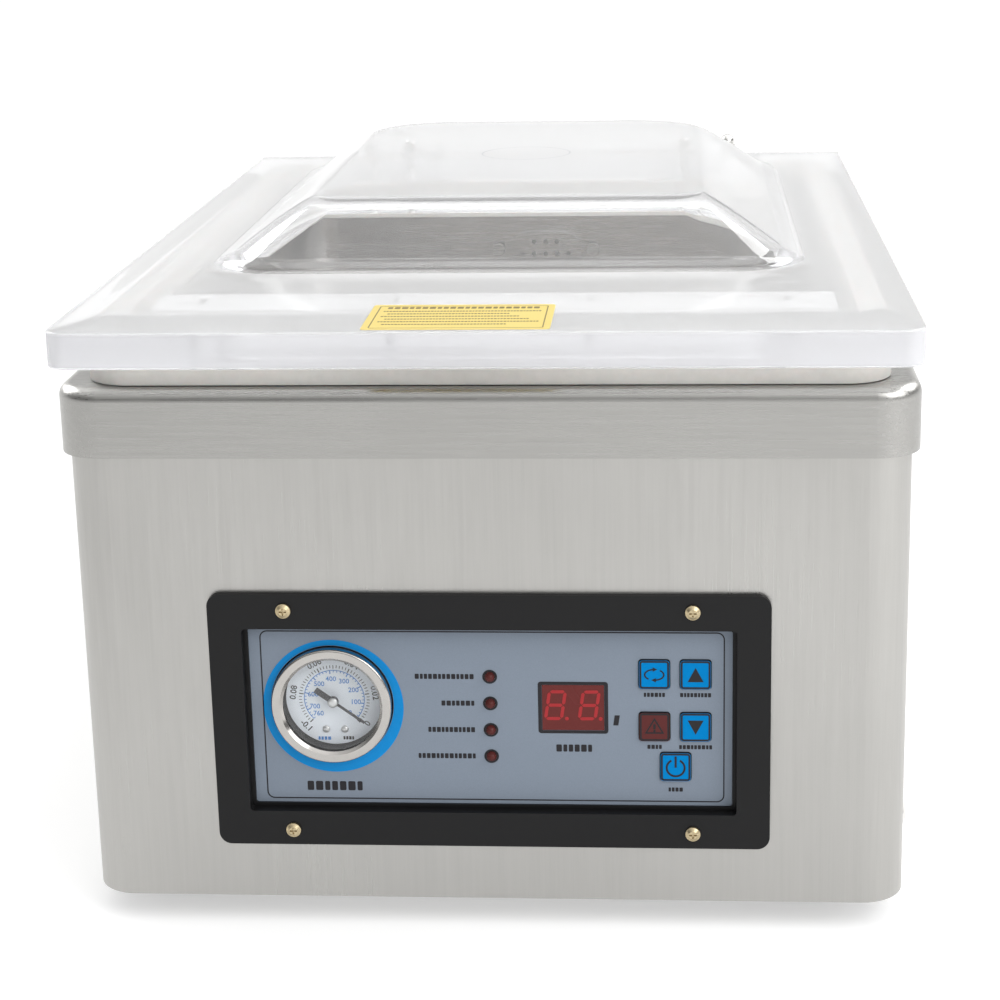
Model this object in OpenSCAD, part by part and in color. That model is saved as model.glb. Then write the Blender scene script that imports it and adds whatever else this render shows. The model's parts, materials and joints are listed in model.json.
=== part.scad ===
// Table-top vacuum chamber sealer with a clear domed lid.
// Millimetres. X is the width, Y runs from the front to the back, Z is up.
// The origin is on the resting surface, in the middle of the overall box.

/* [Lid] */
// Width of the clear lid plate
lid_w = 330; // [320:1:332]
// Depth of the clear lid plate
lid_d = 460; // [455:1:462]
// Thickness of the lid plate
lid_t = 14.5; // [12:0.5:16]
// Rise of the dome above the lid plate
dome_h = 27; // [20:1:35]
// Width of the dome where it leaves the plate
dome_w = 250; // [230:1:256]

/* [Body] */
// Overall depth with the rear fittings
overall_d = 480; // [476:1:490]
// Width of the sheet-metal body
body_w = 325; // [318:1:326]
// Height of the sheet-metal body
body_h = 183; // [180:1:200]
// Height of the rubber feet
foot_h = 12; // [8:1:14]
// Thickness of the body sheet
sheet_t = 1.2; // [1:0.1:1.5]
// Radius of the body's front corners
body_r = 17; // [12:1:20]

/* [Chamber] */
// Height of the band round the chamber pan
band_h = 27; // [26:1:32]
// Width of the band round the chamber pan
band_w = 331; // [329:1:332]
// Width inside the chamber
well_w = 280; // [270:1:282]
// Depth front to back inside the chamber
well_d = 385; // [375:1:386]
// Depth of the chamber below its rim
well_h = 50; // [45:1:52]
// Height of the gap that the lid gasket fills
seal_gap = 9; // [8:0.5:11]

/* [Sealing] */
// Length of the seal bar
bar_l = 262; // [240:1:264]
// Travel of the seal bar when it lifts
bar_lift = 9.7; // [5:0.1:9.7]

/* [Control panel] */
// Width of the panel bezel
bezel_w = 218; // [210:1:230]
// Height of the panel bezel
bezel_h = 105; // [100:1:108]
// Side of a square key
key_s = 11.8; // [10:0.1:12.5]
// Outer diameter of the steel gauge ring
gauge_d = 47.5; // [46:0.5:50]

/* [Hidden] */
$fn = 64;

// Heights of the main levels
z_body = foot_h;
z_band = z_body + body_h;
z_rim = z_band + band_h;
z_lid = z_rim + seal_gap;
z_top = z_lid + lid_t;
z_well = z_rim - well_h;

// Front and rear faces
front_y = -overall_d / 2;
lid_y = front_y + lid_d / 2;
lid_rear_y = front_y + lid_d;
band_front_y = front_y + 6;
rear_y = lid_rear_y + 2;
band_d = rear_y - band_front_y;
band_y = (rear_y + band_front_y) / 2;
band_t = 2.5;
body_front_y = front_y + 7.5;
body_rear_y = rear_y - 1.8;
body_d = body_rear_y - body_front_y;
body_y = (body_rear_y + body_front_y) / 2;
well_y = band_front_y + 35 + well_d / 2;
well_rear_y = well_y + well_d / 2;
well_t = 2;
well_r = 22;

// Running clearance between moving bodies, and the radial play of a pin
gap = 0.3;
play = 0.05;

// How far a cutting shape passes a face, and how far two joined shapes lap
cut = 1;
lap = 0.1;

// Screw sizes: shank radius, and the radius of a clearance hole
m3_hole_r = 1.7;
m4_r = 2;
m4_hole_r = 2.1;
m5_r = 2.5;
m5_hole_r = 2.6;
m6_hole_r = 3.1;

// Base plate, feet and body screws
floor_t = 1.5;
floor_top = z_body + sheet_t + floor_t;
foot_recess = 6;
foot_x = 125;
side_screw_z = z_body + 21;
side_screw_y = body_front_y + 40;
side_screw_pitch = 185;
rear_screw_x = 153;
rear_screw_z = z_body + 18;
rear_screw_pitch = 72;

// Dome
dome_front_y = front_y + 114;
dome_rear_y = front_y + 436;
dome_steps = 10;
dome_wall = 5;
// How far each side leans in at the flat top, and the plan corner radius at the foot and at the top
dome_side_in = 42;
dome_front_in = 38;
dome_rear_in = 40;
dome_front_r0 = 30;
dome_rear_r0 = 50;
dome_front_r1 = 12;
dome_rear_r1 = 36;
// Share of a wall's lean that is a plain slope, and the exponent of the curve for the rest
side_lean = [0.85, 3];
front_lean = [0.5, 6];
rear_lean = [0.85, 3];

// Hinges
hinge_x = 90;
hinge_y = rear_y + 7;
hinge_z = z_lid - 5;
hinge_r = 5;
pin_r = 2.5;
bolt_pitch = 24;
bolt_y = lid_rear_y - 12;
leaf_t = 3;
plate_t = 2.5;
bracket_screw_dx = 12;
bracket_screw_z = z_band + 9;
inner_knuckle_x = 15;
inner_knuckle_l = 13.7;
outer_knuckle_x = 26;
outer_knuckle_l = 7.6;

// Suction port in the chamber's rear wall, with its cover's two thumb screws
port_z = z_well + 25;
port_screw_x = 26.5;
port_hole_r = 1.9;

// Seal bar
bar_y = front_y + 68;
bar_z = z_well + 12;
bar_h = 24;
bar_t = 14;
rod_x = 95;
rod_r = 5;
piston_r = 12.6;
bush_r = 9;
tape_rise = 0.8;
holder_web = 2.5;
strip_screw_pitch = 78;
strip_z = bar_z + bar_h + tape_rise + bar_lift + gap;

// Control panel levels, from the front backwards
bezel_y = body_front_y - 2.5;
panel_y = body_front_y + 3;
panel_z = z_body + 76.2;
opening_w = 192;
opening_h = 76.5;
plug_w = 199;
plug_h = 83;
plug_r = 2.5;
membrane_t = 1.2;
bracket_y = panel_y + membrane_t;
bracket_t = 1.2;
board_y = panel_y + 9;
board_t = 1.6;
screw_x = 79;
screw_dz = 46;
key_proud = 0.8;
gauge_x = -62.3;
gauge_z = panel_z + 5.4;
pointer_angle = -36;
gauge_case_r = 23.5;
glass_r = 20.4;
dial_r = 19.2;
spindle_r = 0.95;
dial_y = panel_y + 5.2;
led_x = 0;
led_r = 1.95;
led_top_z = panel_z + 17;
led_pitch = 11.13;
display_x = 32.4;
display_z = panel_z + 4.3;
display_w = 24.2;
display_h = 18.8;

// Vacuum pump
pump_y = 95;
pump_z = 92;
motor_x0 = -12;
motor_l = 118;
motor_r = 55;
cowl_l = 34;
shaft_r = 6;
mount_top = 24;
glass_x = -102;
glass_y = pump_y - 45;
glass_z = 70;
sight_r = 9;
inlet_port_x = -92;
inlet_port_y = pump_y + 17.5;

// Rear fittings
inlet_x = -110;
inlet_z = z_body + 38;
fuse_x = -70;
fuse_r = 6.1;
exhaust_x = 112;
exhaust_z = z_body + 48;
exhaust_r = 9;

// ---------------------------------------------------------------- helpers

// Rectangle with round corners, centred on the origin
module outline(w, d, r) {
    square([w - 2 * r, d], center = true);
    square([w, d - 2 * r], center = true);
    for (sx = [-1, 1], sy = [-1, 1])
        translate([sx * (w / 2 - r), sy * (d / 2 - r)])
            circle(r);
}

// Upright block with round plan corners
module slab(w, d, h, r) {
    linear_extrude(h) outline(w, d, r);
}

// Cross-section with a round edge on both upper corners
module crown(w, h, e) {
    translate([-w / 2, 0]) square([w, h - e]);
    translate([-w / 2 + e, 0]) square([w - 2 * e, h]);
    for (s = [-1, 1])
        translate([s * (w / 2 - e), h - e])
            circle(e);
}

// Block with round plan corners and a round upper edge
module soft_slab(w, d, h, r, e) {
    translate([-(w / 2 - r), 0, 0])
        rotate([90, 0, 90])
            linear_extrude(w - 2 * r) crown(d, h, e);
    translate([0, d / 2 - r, 0])
        rotate([90, 0, 0])
            linear_extrude(d - 2 * r) crown(w, h, e);
    for (sx = [-1, 1], sy = [-1, 1])
        translate([sx * (w / 2 - r), sy * (d / 2 - r), 0])
            rotate_extrude()
                intersection() {
                    crown(2 * r, h, e);
                    square([r, h]);
                }
}

// Box given by its lowest corner and its highest corner
module box(a, b) {
    translate(a) cube(b - a);
}

// Cylinder along Y from y0 to y1
module rod_y(x, y0, y1, z, r) {
    translate([x, y0, z])
        rotate([-90, 0, 0])
            cylinder(h = y1 - y0, r = r);
}

// Cylinder along X from x0 to x1
module rod_x(x0, x1, y, z, r) {
    translate([x0, y, z])
        rotate([0, 90, 0])
            cylinder(h = x1 - x0, r = r);
}

// Upright plate in the XZ plane with round corners
module plate_y(x, y0, y1, z, w, h, r) {
    translate([x, y1, z])
        rotate([90, 0, 0])
            slab(w, h, y1 - y0, r);
}

// Domed screw head that stands on the face z = 0, with a cross recess and its shank
module pan_screw(r, h, shank_r, shank_l) {
    rim_h = h * 0.55;
    slot_z = h * 0.5;
    slot_w = r * 0.22;
    difference() {
        union() {
            cylinder(h = rim_h, r = r);
            translate([0, 0, slot_z]) cylinder(h = h - slot_z, r1 = r * 0.98, r2 = r * 0.55);
        }
        for (a = [0, 90])
            rotate([0, 0, a])
                translate([-r / 2, -slot_w / 2, slot_z])
                    cube([r, slot_w, h]);
    }
    translate([0, 0, -shank_l]) cylinder(h = shank_l + lap, r = shank_r);
}

// ---------------------------------------------------------------- body

module body_shell() {
    inner_w = body_w - 2 * sheet_t;
    rear_cut = 40;
    lip_w = inner_w - 40;
    lip_d = 16;
    plug_play = 1;
    through_y = body_front_y + 2;
    color("silver")
        difference() {
            union() {
                difference() {
                    translate([0, body_y, z_body]) slab(body_w, body_d, body_h, body_r);
                    translate([0, body_y, z_body - cut])
                        slab(inner_w, body_d - 2 * sheet_t, body_h + 2 * cut, body_r - sheet_t);
                    box([-body_w, body_rear_y - rear_cut, z_body - cut],
                        [body_w, body_rear_y + cut, z_band + cut]);
                }
                for (s = [-1, 1]) {
                    side_wall(s, rear_cut + 2);
                    rear_return(s);
                    bottom_return(s);
                }
                box([-lip_w / 2, body_front_y + sheet_t - lap, z_body],
                    [lip_w / 2, body_front_y + lip_d, z_body + sheet_t]);
            }
            plate_y(0, body_front_y - cut, through_y, panel_z, plug_w + plug_play, plug_h + plug_play, 3);
            for (sx = [-1, 1], sz = [-1, 1])
                rod_y(sx * screw_x, body_front_y - cut, through_y, panel_z + sz * screw_dz, m3_hole_r);
            for (y = side_screw_ys())
                rod_x(-body_w, body_w, y, side_screw_z, m5_hole_r);
            for (sx = [-1, 1], z = rear_screw_zs())
                rod_y(sx * rear_screw_x, body_rear_y - 3, body_rear_y + cut, z, m4_hole_r);
        }
}

// Straight rear part of a body side, l long, behind the round front corner
module side_wall(s, l) {
    translate([s * (body_w - sheet_t) / 2, body_rear_y - l / 2, z_body + body_h / 2])
        cube([sheet_t, l, body_h], center = true);
}

module rear_return(s) {
    w = 18;
    translate([s * (body_w - w) / 2, body_rear_y - sheet_t / 2, z_body + body_h / 2])
        cube([w, sheet_t, body_h], center = true);
}

module bottom_return(s) {
    w = 16;
    l = body_d - 40;
    translate([s * (body_w - w) / 2, body_rear_y - 10 - l / 2, z_body + sheet_t / 2])
        cube([w, l, sheet_t], center = true);
}

function side_screw_ys() = [for (i = [0 : 2]) side_screw_y + i * side_screw_pitch];

function rear_screw_zs() = [for (i = [0 : 2]) rear_screw_z + i * rear_screw_pitch];

module base_plate() {
    edge_play = 5;
    slot_l = 70;
    slot_w = 5;
    slot_pitch = 14;
    cut_h = 6;
    color("gainsboro")
        difference() {
            translate([0, body_y, z_body + sheet_t])
                slab(body_w - edge_play, body_d - edge_play, floor_t, body_r - 3);
            for (s = [-1, 1], i = [0 : 7])
                translate([s * 55, 40 + i * slot_pitch, z_body])
                    slab(slot_l, slot_w, cut_h, slot_w / 2 - lap);
            for (p = foot_places())
                translate([p.x, p.y, z_body]) cylinder(h = cut_h, r = m5_hole_r);
            for (p = mount_places())
                translate([p.x, p.y, z_body]) cylinder(h = cut_h, r = m6_hole_r);
        }
}

function foot_places() = [for (sx = [-1, 1], y = [body_front_y + 62, body_rear_y - 42]) [sx * foot_x, y]];

module rubber_feet() {
    foot_r = 15;
    rim_r = 16.5;
    tread_h = 2;
    color("dimgray")
        for (p = foot_places())
            translate([p.x, p.y, 0])
                difference() {
                    union() {
                        cylinder(h = foot_h, r = foot_r);
                        translate([0, 0, tread_h]) cylinder(h = foot_h - tread_h, r = rim_r);
                    }
                    translate([0, 0, -cut]) cylinder(h = foot_recess + cut, r = 6);
                    cylinder(h = foot_h + cut, r = m5_hole_r);
                }
}

module foot_screws() {
    head_r = 4.6;
    head_h = 3.5;
    color("silver")
        for (p = foot_places())
            translate([p.x, p.y, 0]) {
                translate([0, 0, foot_recess - head_h]) cylinder(h = head_h, r = head_r);
                translate([0, 0, foot_recess - lap]) cylinder(h = foot_h, r = m5_r);
                translate([0, 0, floor_top]) cylinder(h = 4, r = head_r, $fn = 6);
            }
}

module side_screws() {
    washer_h = 0.8;
    head_h = 1.5;
    crown_h = 1.2;
    head_r = 5.5;
    shank_l = 9;
    color("silver")
        for (y = side_screw_ys(), s = [-1, 1])
            translate([s * body_w / 2, y, side_screw_z])
                rotate([0, s * 90, 0]) {
                    cylinder(h = washer_h, r = 6.2);
                    translate([0, 0, washer_h]) cylinder(h = head_h, r = head_r);
                    translate([0, 0, washer_h + head_h]) cylinder(h = crown_h, r1 = head_r - lap, r2 = 3.2);
                    translate([0, 0, -shank_l]) cylinder(h = shank_l + lap, r = m5_r);
                }
}

module rear_panel() {
    z0 = z_body + 1.5;
    z1 = z_band - 0.5;
    flange_z = z0 + 4;
    flange_w = body_w - 48;
    slot_w = 92;
    slot_h = 3.4;
    slot_pitch = 9;
    slot_z0 = z_body + 92;
    hole_d = 8;
    color("silver")
        difference() {
            union() {
                box([-body_w / 2 + gap, body_rear_y, z0], [body_w / 2 - gap, body_rear_y + sheet_t, z1]);
                box([-flange_w / 2, body_rear_y - 12, flange_z],
                    [flange_w / 2, body_rear_y + lap, flange_z + sheet_t]);
            }
            for (i = [0 : 8], s = [-1, 1])
                translate([s * 60, body_rear_y, slot_z0 + i * slot_pitch])
                    cube([slot_w, hole_d, slot_h], center = true);
            for (sx = [-1, 1], z = rear_screw_zs())
                rod_y(sx * rear_screw_x, body_rear_y - cut, body_rear_y + hole_d / 2, z, m4_hole_r);
            translate([inlet_x, body_rear_y, inlet_z]) cube([27.4, hole_d, 19.4], center = true);
            rod_y(fuse_x, body_rear_y - cut, body_rear_y + hole_d / 2, inlet_z, fuse_r + lap);
            rod_y(exhaust_x, body_rear_y - cut, body_rear_y + hole_d / 2, exhaust_z, exhaust_r + gap);
        }
}

module rear_panel_screws() {
    color("silver")
        for (sx = [-1, 1], z = rear_screw_zs())
            translate([sx * rear_screw_x, body_rear_y + sheet_t, z])
                rotate([-90, 0, 0])
                    pan_screw(3.6, 2.4, m4_r, 7);
}

module chamber_pan() {
    band_r = 18;
    band_edge = 5;
    inner_w = band_w - 2 * band_t;
    outer_w = well_w + 2 * well_t;
    outer_edge = 12;
    wall_cut = 6;
    color("silver")
        difference() {
            union() {
                difference() {
                    translate([0, band_y, z_band]) soft_slab(band_w, band_d, band_h, band_r, band_edge);
                    translate([0, band_y, z_band - cut])
                        slab(inner_w, band_d - 2 * band_t, band_h + cut - band_t, band_r - band_t);
                }
                translate([0, well_y, z_rim - cut])
                    mirror([0, 0, 1])
                        soft_slab(outer_w, well_d + 2 * well_t, well_h + cut, well_r + well_t, outer_edge);
            }
            translate([0, well_y, z_rim + cut])
                mirror([0, 0, 1])
                    soft_slab(well_w, well_d, well_h + cut, well_r, outer_edge - well_t);
            for (s = [-1, 1]) {
                translate([s * rod_x, bar_y, z_well - 5]) cylinder(h = 10, r = bush_r);
                translate([s * 60, bar_y, z_well - 5]) cylinder(h = 10, r = 3.4);
            }
            rod_y(0, well_rear_y - 4, well_rear_y + wall_cut, port_z, 11.2);
            for (s = [-1, 1]) {
                rod_y(s * port_screw_x, well_rear_y - 4, well_rear_y + wall_cut, port_z, port_hole_r);
                for (d = [-1, 1])
                    translate([d * bracket_screw_dx, 0, 0])
                        rod_y(s * hinge_x, rear_y - 6, rear_y + cut, bracket_screw_z, m4_hole_r);
            }
        }
}

// ---------------------------------------------------------------- lid

// Share of its lean that a wall has made at the share t of its height
function bend(t, power) = 1 - pow(1 - pow(t, power), 1 / power);
function lean(t, way) = way[0] * t + (1 - way[0]) * bend(t, way[1]);

// One level of the dome: t runs from 0 at the plate to 1 at the flat top
module dome_level(t, grow, z) {
    w = dome_w - 2 * lean(t, side_lean) * dome_side_in + 2 * grow;
    y0 = dome_front_y + lean(t, front_lean) * dome_front_in - grow;
    y1 = dome_rear_y - lean(t, rear_lean) * dome_rear_in + grow;
    front_r = dome_front_r0 + (dome_front_r1 - dome_front_r0) * lean(t, side_lean) + grow;
    rear_r = dome_rear_r0 + (dome_rear_r1 - dome_rear_r0) * lean(t, side_lean) + grow;
    translate([0, (y0 + y1) / 2, z])
        linear_extrude(0.2)
            two_radius_outline(w, y1 - y0, front_r, rear_r);
}

module dome_solid(grow, z0, rise) {
    hull()
        for (i = [0 : dome_steps])
            dome_level(sin(90 * i / dome_steps), grow, z0 + rise * sin(90 * i / dome_steps), $fn = 48);
}

// Rectangle centred on the origin, with corner radius rf at the front and rb at the back
module two_radius_outline(w, d, rf, rb) {
    translate([-w / 2, -d / 2 + rf]) square([w, d - rf - rb]);
    translate([-w / 2 + rf, -d / 2]) square([w - 2 * rf, rf + cut]);
    translate([-w / 2 + rb, d / 2 - rb - cut]) square([w - 2 * rb, rb + cut]);
    for (s = [-1, 1]) {
        translate([s * (w / 2 - rf), -d / 2 + rf]) circle(rf);
        translate([s * (w / 2 - rb), d / 2 - rb]) circle(rb);
    }
}

module lid() {
    color("white", 0.5)
        difference() {
            union() {
                translate([0, lid_y, z_lid]) linear_extrude(lid_t) two_radius_outline(lid_w, lid_d, 9, 3);
                dome_solid(0, z_top - 0.5, dome_h + 0.3);
            }
            dome_solid(-dome_wall, z_lid - 0.5, lid_t + dome_h - dome_wall + 1);
            for (p = bolt_places())
                translate([p.x, p.y, z_lid - cut]) cylinder(h = lid_t + 2 * cut, r = m5_hole_r);
            for (x = strip_screw_xs())
                translate([x, bar_y, z_lid - cut]) cylinder(h = 7 + cut, r = m3_hole_r);
        }
}

function bolt_places() = [for (s = [-1, 1], d = [-1, 1]) [s * hinge_x + d * bolt_pitch / 2, bolt_y]];

function strip_screw_xs() = [for (i = [-1.5 : 1 : 1.5]) i * strip_screw_pitch];

module lid_gasket() {
    outer_w = 309;
    outer_d = 427;
    width = 11;
    outer_r = 18;
    y = front_y + 12 + outer_d / 2;
    color("whitesmoke")
        difference() {
            translate([0, y, z_rim + gap]) slab(outer_w, outer_d, seal_gap - gap, outer_r);
            translate([0, y, z_rim - cut])
                slab(outer_w - 2 * width, outer_d - 2 * width, seal_gap + 2 * cut, outer_r - 10);
        }
}

module pressure_bar_holder() {
    l = 272;
    w = 30;
    h = 8;
    groove_w = 18;
    color("gainsboro")
        difference() {
            box([-l / 2, bar_y - w / 2, z_lid - h], [l / 2, bar_y + w / 2, z_lid]);
            box([-l / 2 - 4, bar_y - groove_w / 2, z_lid - h - cut],
                [l / 2 + 4, bar_y + groove_w / 2, z_lid - holder_web]);
            for (x = strip_screw_xs())
                translate([x, bar_y, z_lid - 3]) cylinder(h = 4, r = m3_hole_r);
        }
}

module silicone_strip() {
    l = 270;
    w = 17.6;
    color("white")
        difference() {
            box([-l / 2, bar_y - w / 2, strip_z], [l / 2, bar_y + w / 2, z_lid - holder_web - lap]);
            for (x = strip_screw_xs())
                translate([x, bar_y, z_lid - 7]) cylinder(h = 6, r = 4);
        }
}

module pressure_bar_screws() {
    color("silver")
        for (x = strip_screw_xs())
            translate([x, bar_y, z_lid - holder_web])
                mirror([0, 0, 1])
                    pan_screw(3.2, 2.2, 1.6, 9);
}

// Knuckle of length l on the hinge line, centred at x
module knuckle(x, l) {
    rod_x(x - l / 2, x + l / 2, hinge_y, hinge_z, hinge_r);
}

module lid_hinge_leaves() {
    leaf_w = 44;
    bore_l = 80;
    color("silver")
        for (s = [-1, 1])
            difference() {
                union() {
                    box([s * hinge_x - leaf_w / 2, bolt_y - 7, z_lid - leaf_t],
                        [s * hinge_x + leaf_w / 2, rear_y + cut, z_lid]);
                    for (d = [-1, 1]) {
                        x = s * hinge_x + d * inner_knuckle_x;
                        knuckle(x, inner_knuckle_l);
                        box([x - inner_knuckle_l / 2, rear_y, z_lid - leaf_t],
                            [x + inner_knuckle_l / 2, hinge_y, z_lid]);
                    }
                }
                rod_x(s * hinge_x - bore_l / 2, s * hinge_x + bore_l / 2, hinge_y, hinge_z, pin_r + play);
                for (d = [-1, 1])
                    translate([s * hinge_x + d * bolt_pitch / 2, bolt_y, z_lid - 5])
                        cylinder(h = 8, r = m5_hole_r);
            }
}

module hinge_brackets() {
    bore_l = 80;
    bracket_w = 60;
    color("silver")
        for (s = [-1, 1])
            difference() {
                union() {
                    box([s * hinge_x - bracket_w / 2, rear_y, z_band + 1],
                        [s * hinge_x + bracket_w / 2, rear_y + plate_t, hinge_z - 6]);
                    for (d = [-1, 1]) {
                        x = s * hinge_x + d * outer_knuckle_x;
                        knuckle(x, outer_knuckle_l);
                        box([x - outer_knuckle_l / 2, rear_y, hinge_z - 8],
                            [x + outer_knuckle_l / 2, rear_y + plate_t, hinge_z]);
                    }
                }
                rod_x(s * hinge_x - bore_l / 2, s * hinge_x + bore_l / 2, hinge_y, hinge_z, pin_r);
                for (d = [-1, 1])
                    translate([d * bracket_screw_dx, 0, 0])
                        rod_y(s * hinge_x, rear_y - cut, rear_y + 4, bracket_screw_z, m4_hole_r);
            }
}

module hinge_pins() {
    pin_l = 62;
    head_l = 2.5;
    color("gray")
        for (s = [-1, 1]) {
            rod_x(s * hinge_x - pin_l / 2, s * hinge_x + pin_l / 2, hinge_y, hinge_z, pin_r);
            rod_x(s * hinge_x - pin_l / 2 - head_l, s * hinge_x - pin_l / 2, hinge_y, hinge_z, pin_r + 1.4);
        }
}

// Coil round the pin between the knuckles, with one leg on each leaf
module torsion_springs() {
    coil_l = 15.2;
    coil_r = hinge_r - 0.4;
    leg_x = 6.6;
    wire_r = 0.8;
    bore_l = 80;
    color("darkgray")
        for (s = [-1, 1])
            difference() {
                union() {
                    rod_x(s * hinge_x - coil_l / 2, s * hinge_x + coil_l / 2, hinge_y, hinge_z, coil_r);
                    rod_y(s * hinge_x - leg_x, rear_y - 2, hinge_y, z_lid - leaf_t - 1.2, wire_r);
                    translate([s * hinge_x + leg_x, rear_y + 3.4, z_band + 10]) cylinder(h = 18, r = wire_r);
                }
                rod_x(s * hinge_x - bore_l / 2, s * hinge_x + bore_l / 2, hinge_y, hinge_z, pin_r + 0.5);
            }
}

module hinge_bolts() {
    head_h = 2.6;
    color("silver")
        for (p = bolt_places())
            translate([p.x, p.y, z_lid - leaf_t]) {
                cylinder(h = leaf_t + lid_t + 6, r = m5_r);
                translate([0, 0, -head_h]) cylinder(h = head_h, r = 4.6);
            }
}

// Domed nut on a washer, on the lid's top face
module cap_nuts() {
    washer_h = 1;
    hex_h = 5.2;
    hex_w = 8;
    cap_r = 3.7;
    neck_z = 6.1;
    cap_z = 8.3;
    color("silver")
        for (p = bolt_places())
            translate([p.x, p.y, z_top])
                difference() {
                    union() {
                        cylinder(h = washer_h, r = 5);
                        translate([0, 0, washer_h]) cylinder(h = hex_h, r = hex_w / sqrt(3), $fn = 6);
                        translate([0, 0, neck_z]) cylinder(h = cap_z - neck_z + 0.3, r = cap_r);
                        translate([0, 0, cap_z])
                            intersection() {
                                sphere(r = cap_r);
                                cylinder(h = 5, r = 5);
                            }
                    }
                    translate([0, 0, -cut]) cylinder(h = 6 + cut, r = m5_r);
                }
}

module bracket_screws() {
    color("silver")
        for (s = [-1, 1], d = [-1, 1])
            translate([s * hinge_x + d * bracket_screw_dx, rear_y + plate_t, bracket_screw_z])
                rotate([-90, 0, 0])
                    pan_screw(3.6, 2.4, m4_r, 8);
}

// ---------------------------------------------------------------- seal bar

module seal_bar() {
    crest_w = 10;
    crest_h = 3;
    bore_h = 10;
    color("lightgray")
        difference() {
            union() {
                box([-bar_l / 2, bar_y - bar_t / 2, bar_z],
                    [bar_l / 2, bar_y + bar_t / 2, bar_z + bar_h - crest_h]);
                box([-bar_l / 2, bar_y - crest_w / 2, bar_z],
                    [bar_l / 2, bar_y + crest_w / 2, bar_z + bar_h]);
            }
            for (s = [-1, 1])
                translate([s * rod_x, bar_y, bar_z - cut]) cylinder(h = bore_h + cut, r = rod_r + play / 2);
        }
}

module heating_wires() {
    wire = [bar_l - 6, 2.6, 0.4];
    color("gray")
        for (s = [-1, 1])
            translate([0, bar_y + s * wire.y, bar_z + bar_h + wire.z / 2])
                cube(wire, center = true);
}

module ptfe_tape() {
    z1 = bar_z + bar_h + tape_rise;
    tape_l = bar_l - 16;
    shoulder = 0.4;
    color("burlywood")
        difference() {
            box([-tape_l / 2, bar_y - 8, bar_z + 8], [tape_l / 2, bar_y + 8, z1]);
            box([-bar_l, bar_y - bar_t / 2 - shoulder, bar_z],
                [bar_l, bar_y + bar_t / 2 + shoulder, bar_z + bar_h - 3 + shoulder]);
            box([-bar_l, bar_y - 5 - shoulder, bar_z], [bar_l, bar_y + 5 + shoulder, z1 - 0.35]);
        }
}

module contact_blocks() {
    block = [5, 12, 14];
    z = bar_z + bar_h / 2 + 3;
    color("goldenrod")
        for (s = [-1, 1])
            difference() {
                translate([s * (bar_l + block.x) / 2, bar_y, z])
                    cube(block, center = true);
                rod_x(s * bar_l / 2 - 10, s * bar_l / 2 + 10, bar_y, z, 1.6);
            }
}

module lift_rods() {
    head_z = z_well - 36;
    head_h = 6;
    color("silver")
        for (s = [-1, 1])
            translate([s * rod_x, bar_y, 0]) {
                translate([0, 0, head_z + head_h]) cylinder(h = bar_z + 10 - head_z - head_h, r = rod_r);
                translate([0, 0, head_z]) cylinder(h = head_h, r = piston_r);
            }
}

// Air cylinder under the pan with the guide bush that passes the pan floor
module lift_cylinders() {
    barrel_h = 52;
    barrel_z = z_well - 54;
    bore_h = 34;
    color("darkgray")
        for (s = [-1, 1])
            translate([s * rod_x, bar_y, 0])
                difference() {
                    union() {
                        translate([0, 0, barrel_z]) cylinder(h = barrel_h, r = 17);
                        translate([0, 0, barrel_z + barrel_h - lap]) cylinder(h = 6, r = bush_r - play);
                        translate([0, 0, z_well]) cylinder(h = 2, r = bush_r + 2);
                    }
                    translate([0, 0, z_well - 60]) cylinder(h = 80, r = rod_r + play);
                    translate([0, 0, barrel_z + 4]) cylinder(h = bore_h, r = piston_r + play);
                }
}

// ---------------------------------------------------------------- suction port

module suction_outline(grow) {
    square([40 + 2 * grow, 18 + 2 * grow], center = true);
    translate([0, 9 + grow]) square([18, 10], center = true);
    for (s = [-1, 1])
        translate([s * 9, 3]) circle(11 + grow);
}

module suction_cover() {
    plate_h = 1.5;
    cap_h = 8;
    wall = 1.4;
    hole_pitch = 6.4;
    row_pitch = 7;
    color("lightgray")
        translate([0, well_rear_y, port_z - 3])
            rotate([90, 0, 0])
                difference() {
                    union() {
                        linear_extrude(plate_h) suction_outline(3);
                        linear_extrude(cap_h) suction_outline(0);
                        for (s = [-1, 1])
                            translate([s * 24, 0, plate_h]) cube([12, 9, 2 * plate_h], center = true);
                    }
                    translate([0, 0, -cut]) linear_extrude(cap_h - wall + cut) suction_outline(-wall);
                    for (row = [0 : 2], i = [-2 : 2])
                        if (row < 2 || abs(i) < 2)
                            translate([i * hole_pitch, -6 + row * row_pitch, 0]) cylinder(h = 12, r = 1.3);
                    for (s = [-1, 1])
                        translate([s * port_screw_x, 3, -3]) cylinder(h = 8, r = port_hole_r);
                }
}

module suction_screws() {
    shank_l = 8;
    color("silver")
        for (s = [-1, 1])
            translate([s * port_screw_x, well_rear_y - 3, port_z])
                rotate([90, 0, 0]) {
                    cylinder(h = 4.5, r = 3.4);
                    translate([0, 0, -shank_l]) cylinder(h = shank_l + lap, r = port_hole_r - lap);
                }
}

// ---------------------------------------------------------------- control panel

module panel_bezel() {
    lip_w = 1.6;
    lip_t = 1;
    color("black")
        difference() {
            union() {
                plate_y(0, bezel_y, body_front_y, panel_z, bezel_w, bezel_h, 5);
                plate_y(0, body_front_y - lap, panel_y, panel_z, plug_w, plug_h, plug_r);
            }
            plate_y(0, bezel_y - cut, panel_y - lip_t, panel_z, opening_w, opening_h, 1.5);
            plate_y(0, bezel_y, panel_y + cut, panel_z, opening_w - 2 * lip_w, opening_h - 2 * lip_w, 1);
            for (sx = [-1, 1], sz = [-1, 1])
                rod_y(sx * screw_x, bezel_y - cut, body_front_y + cut, panel_z + sz * screw_dz, 1.6);
        }
}

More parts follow.
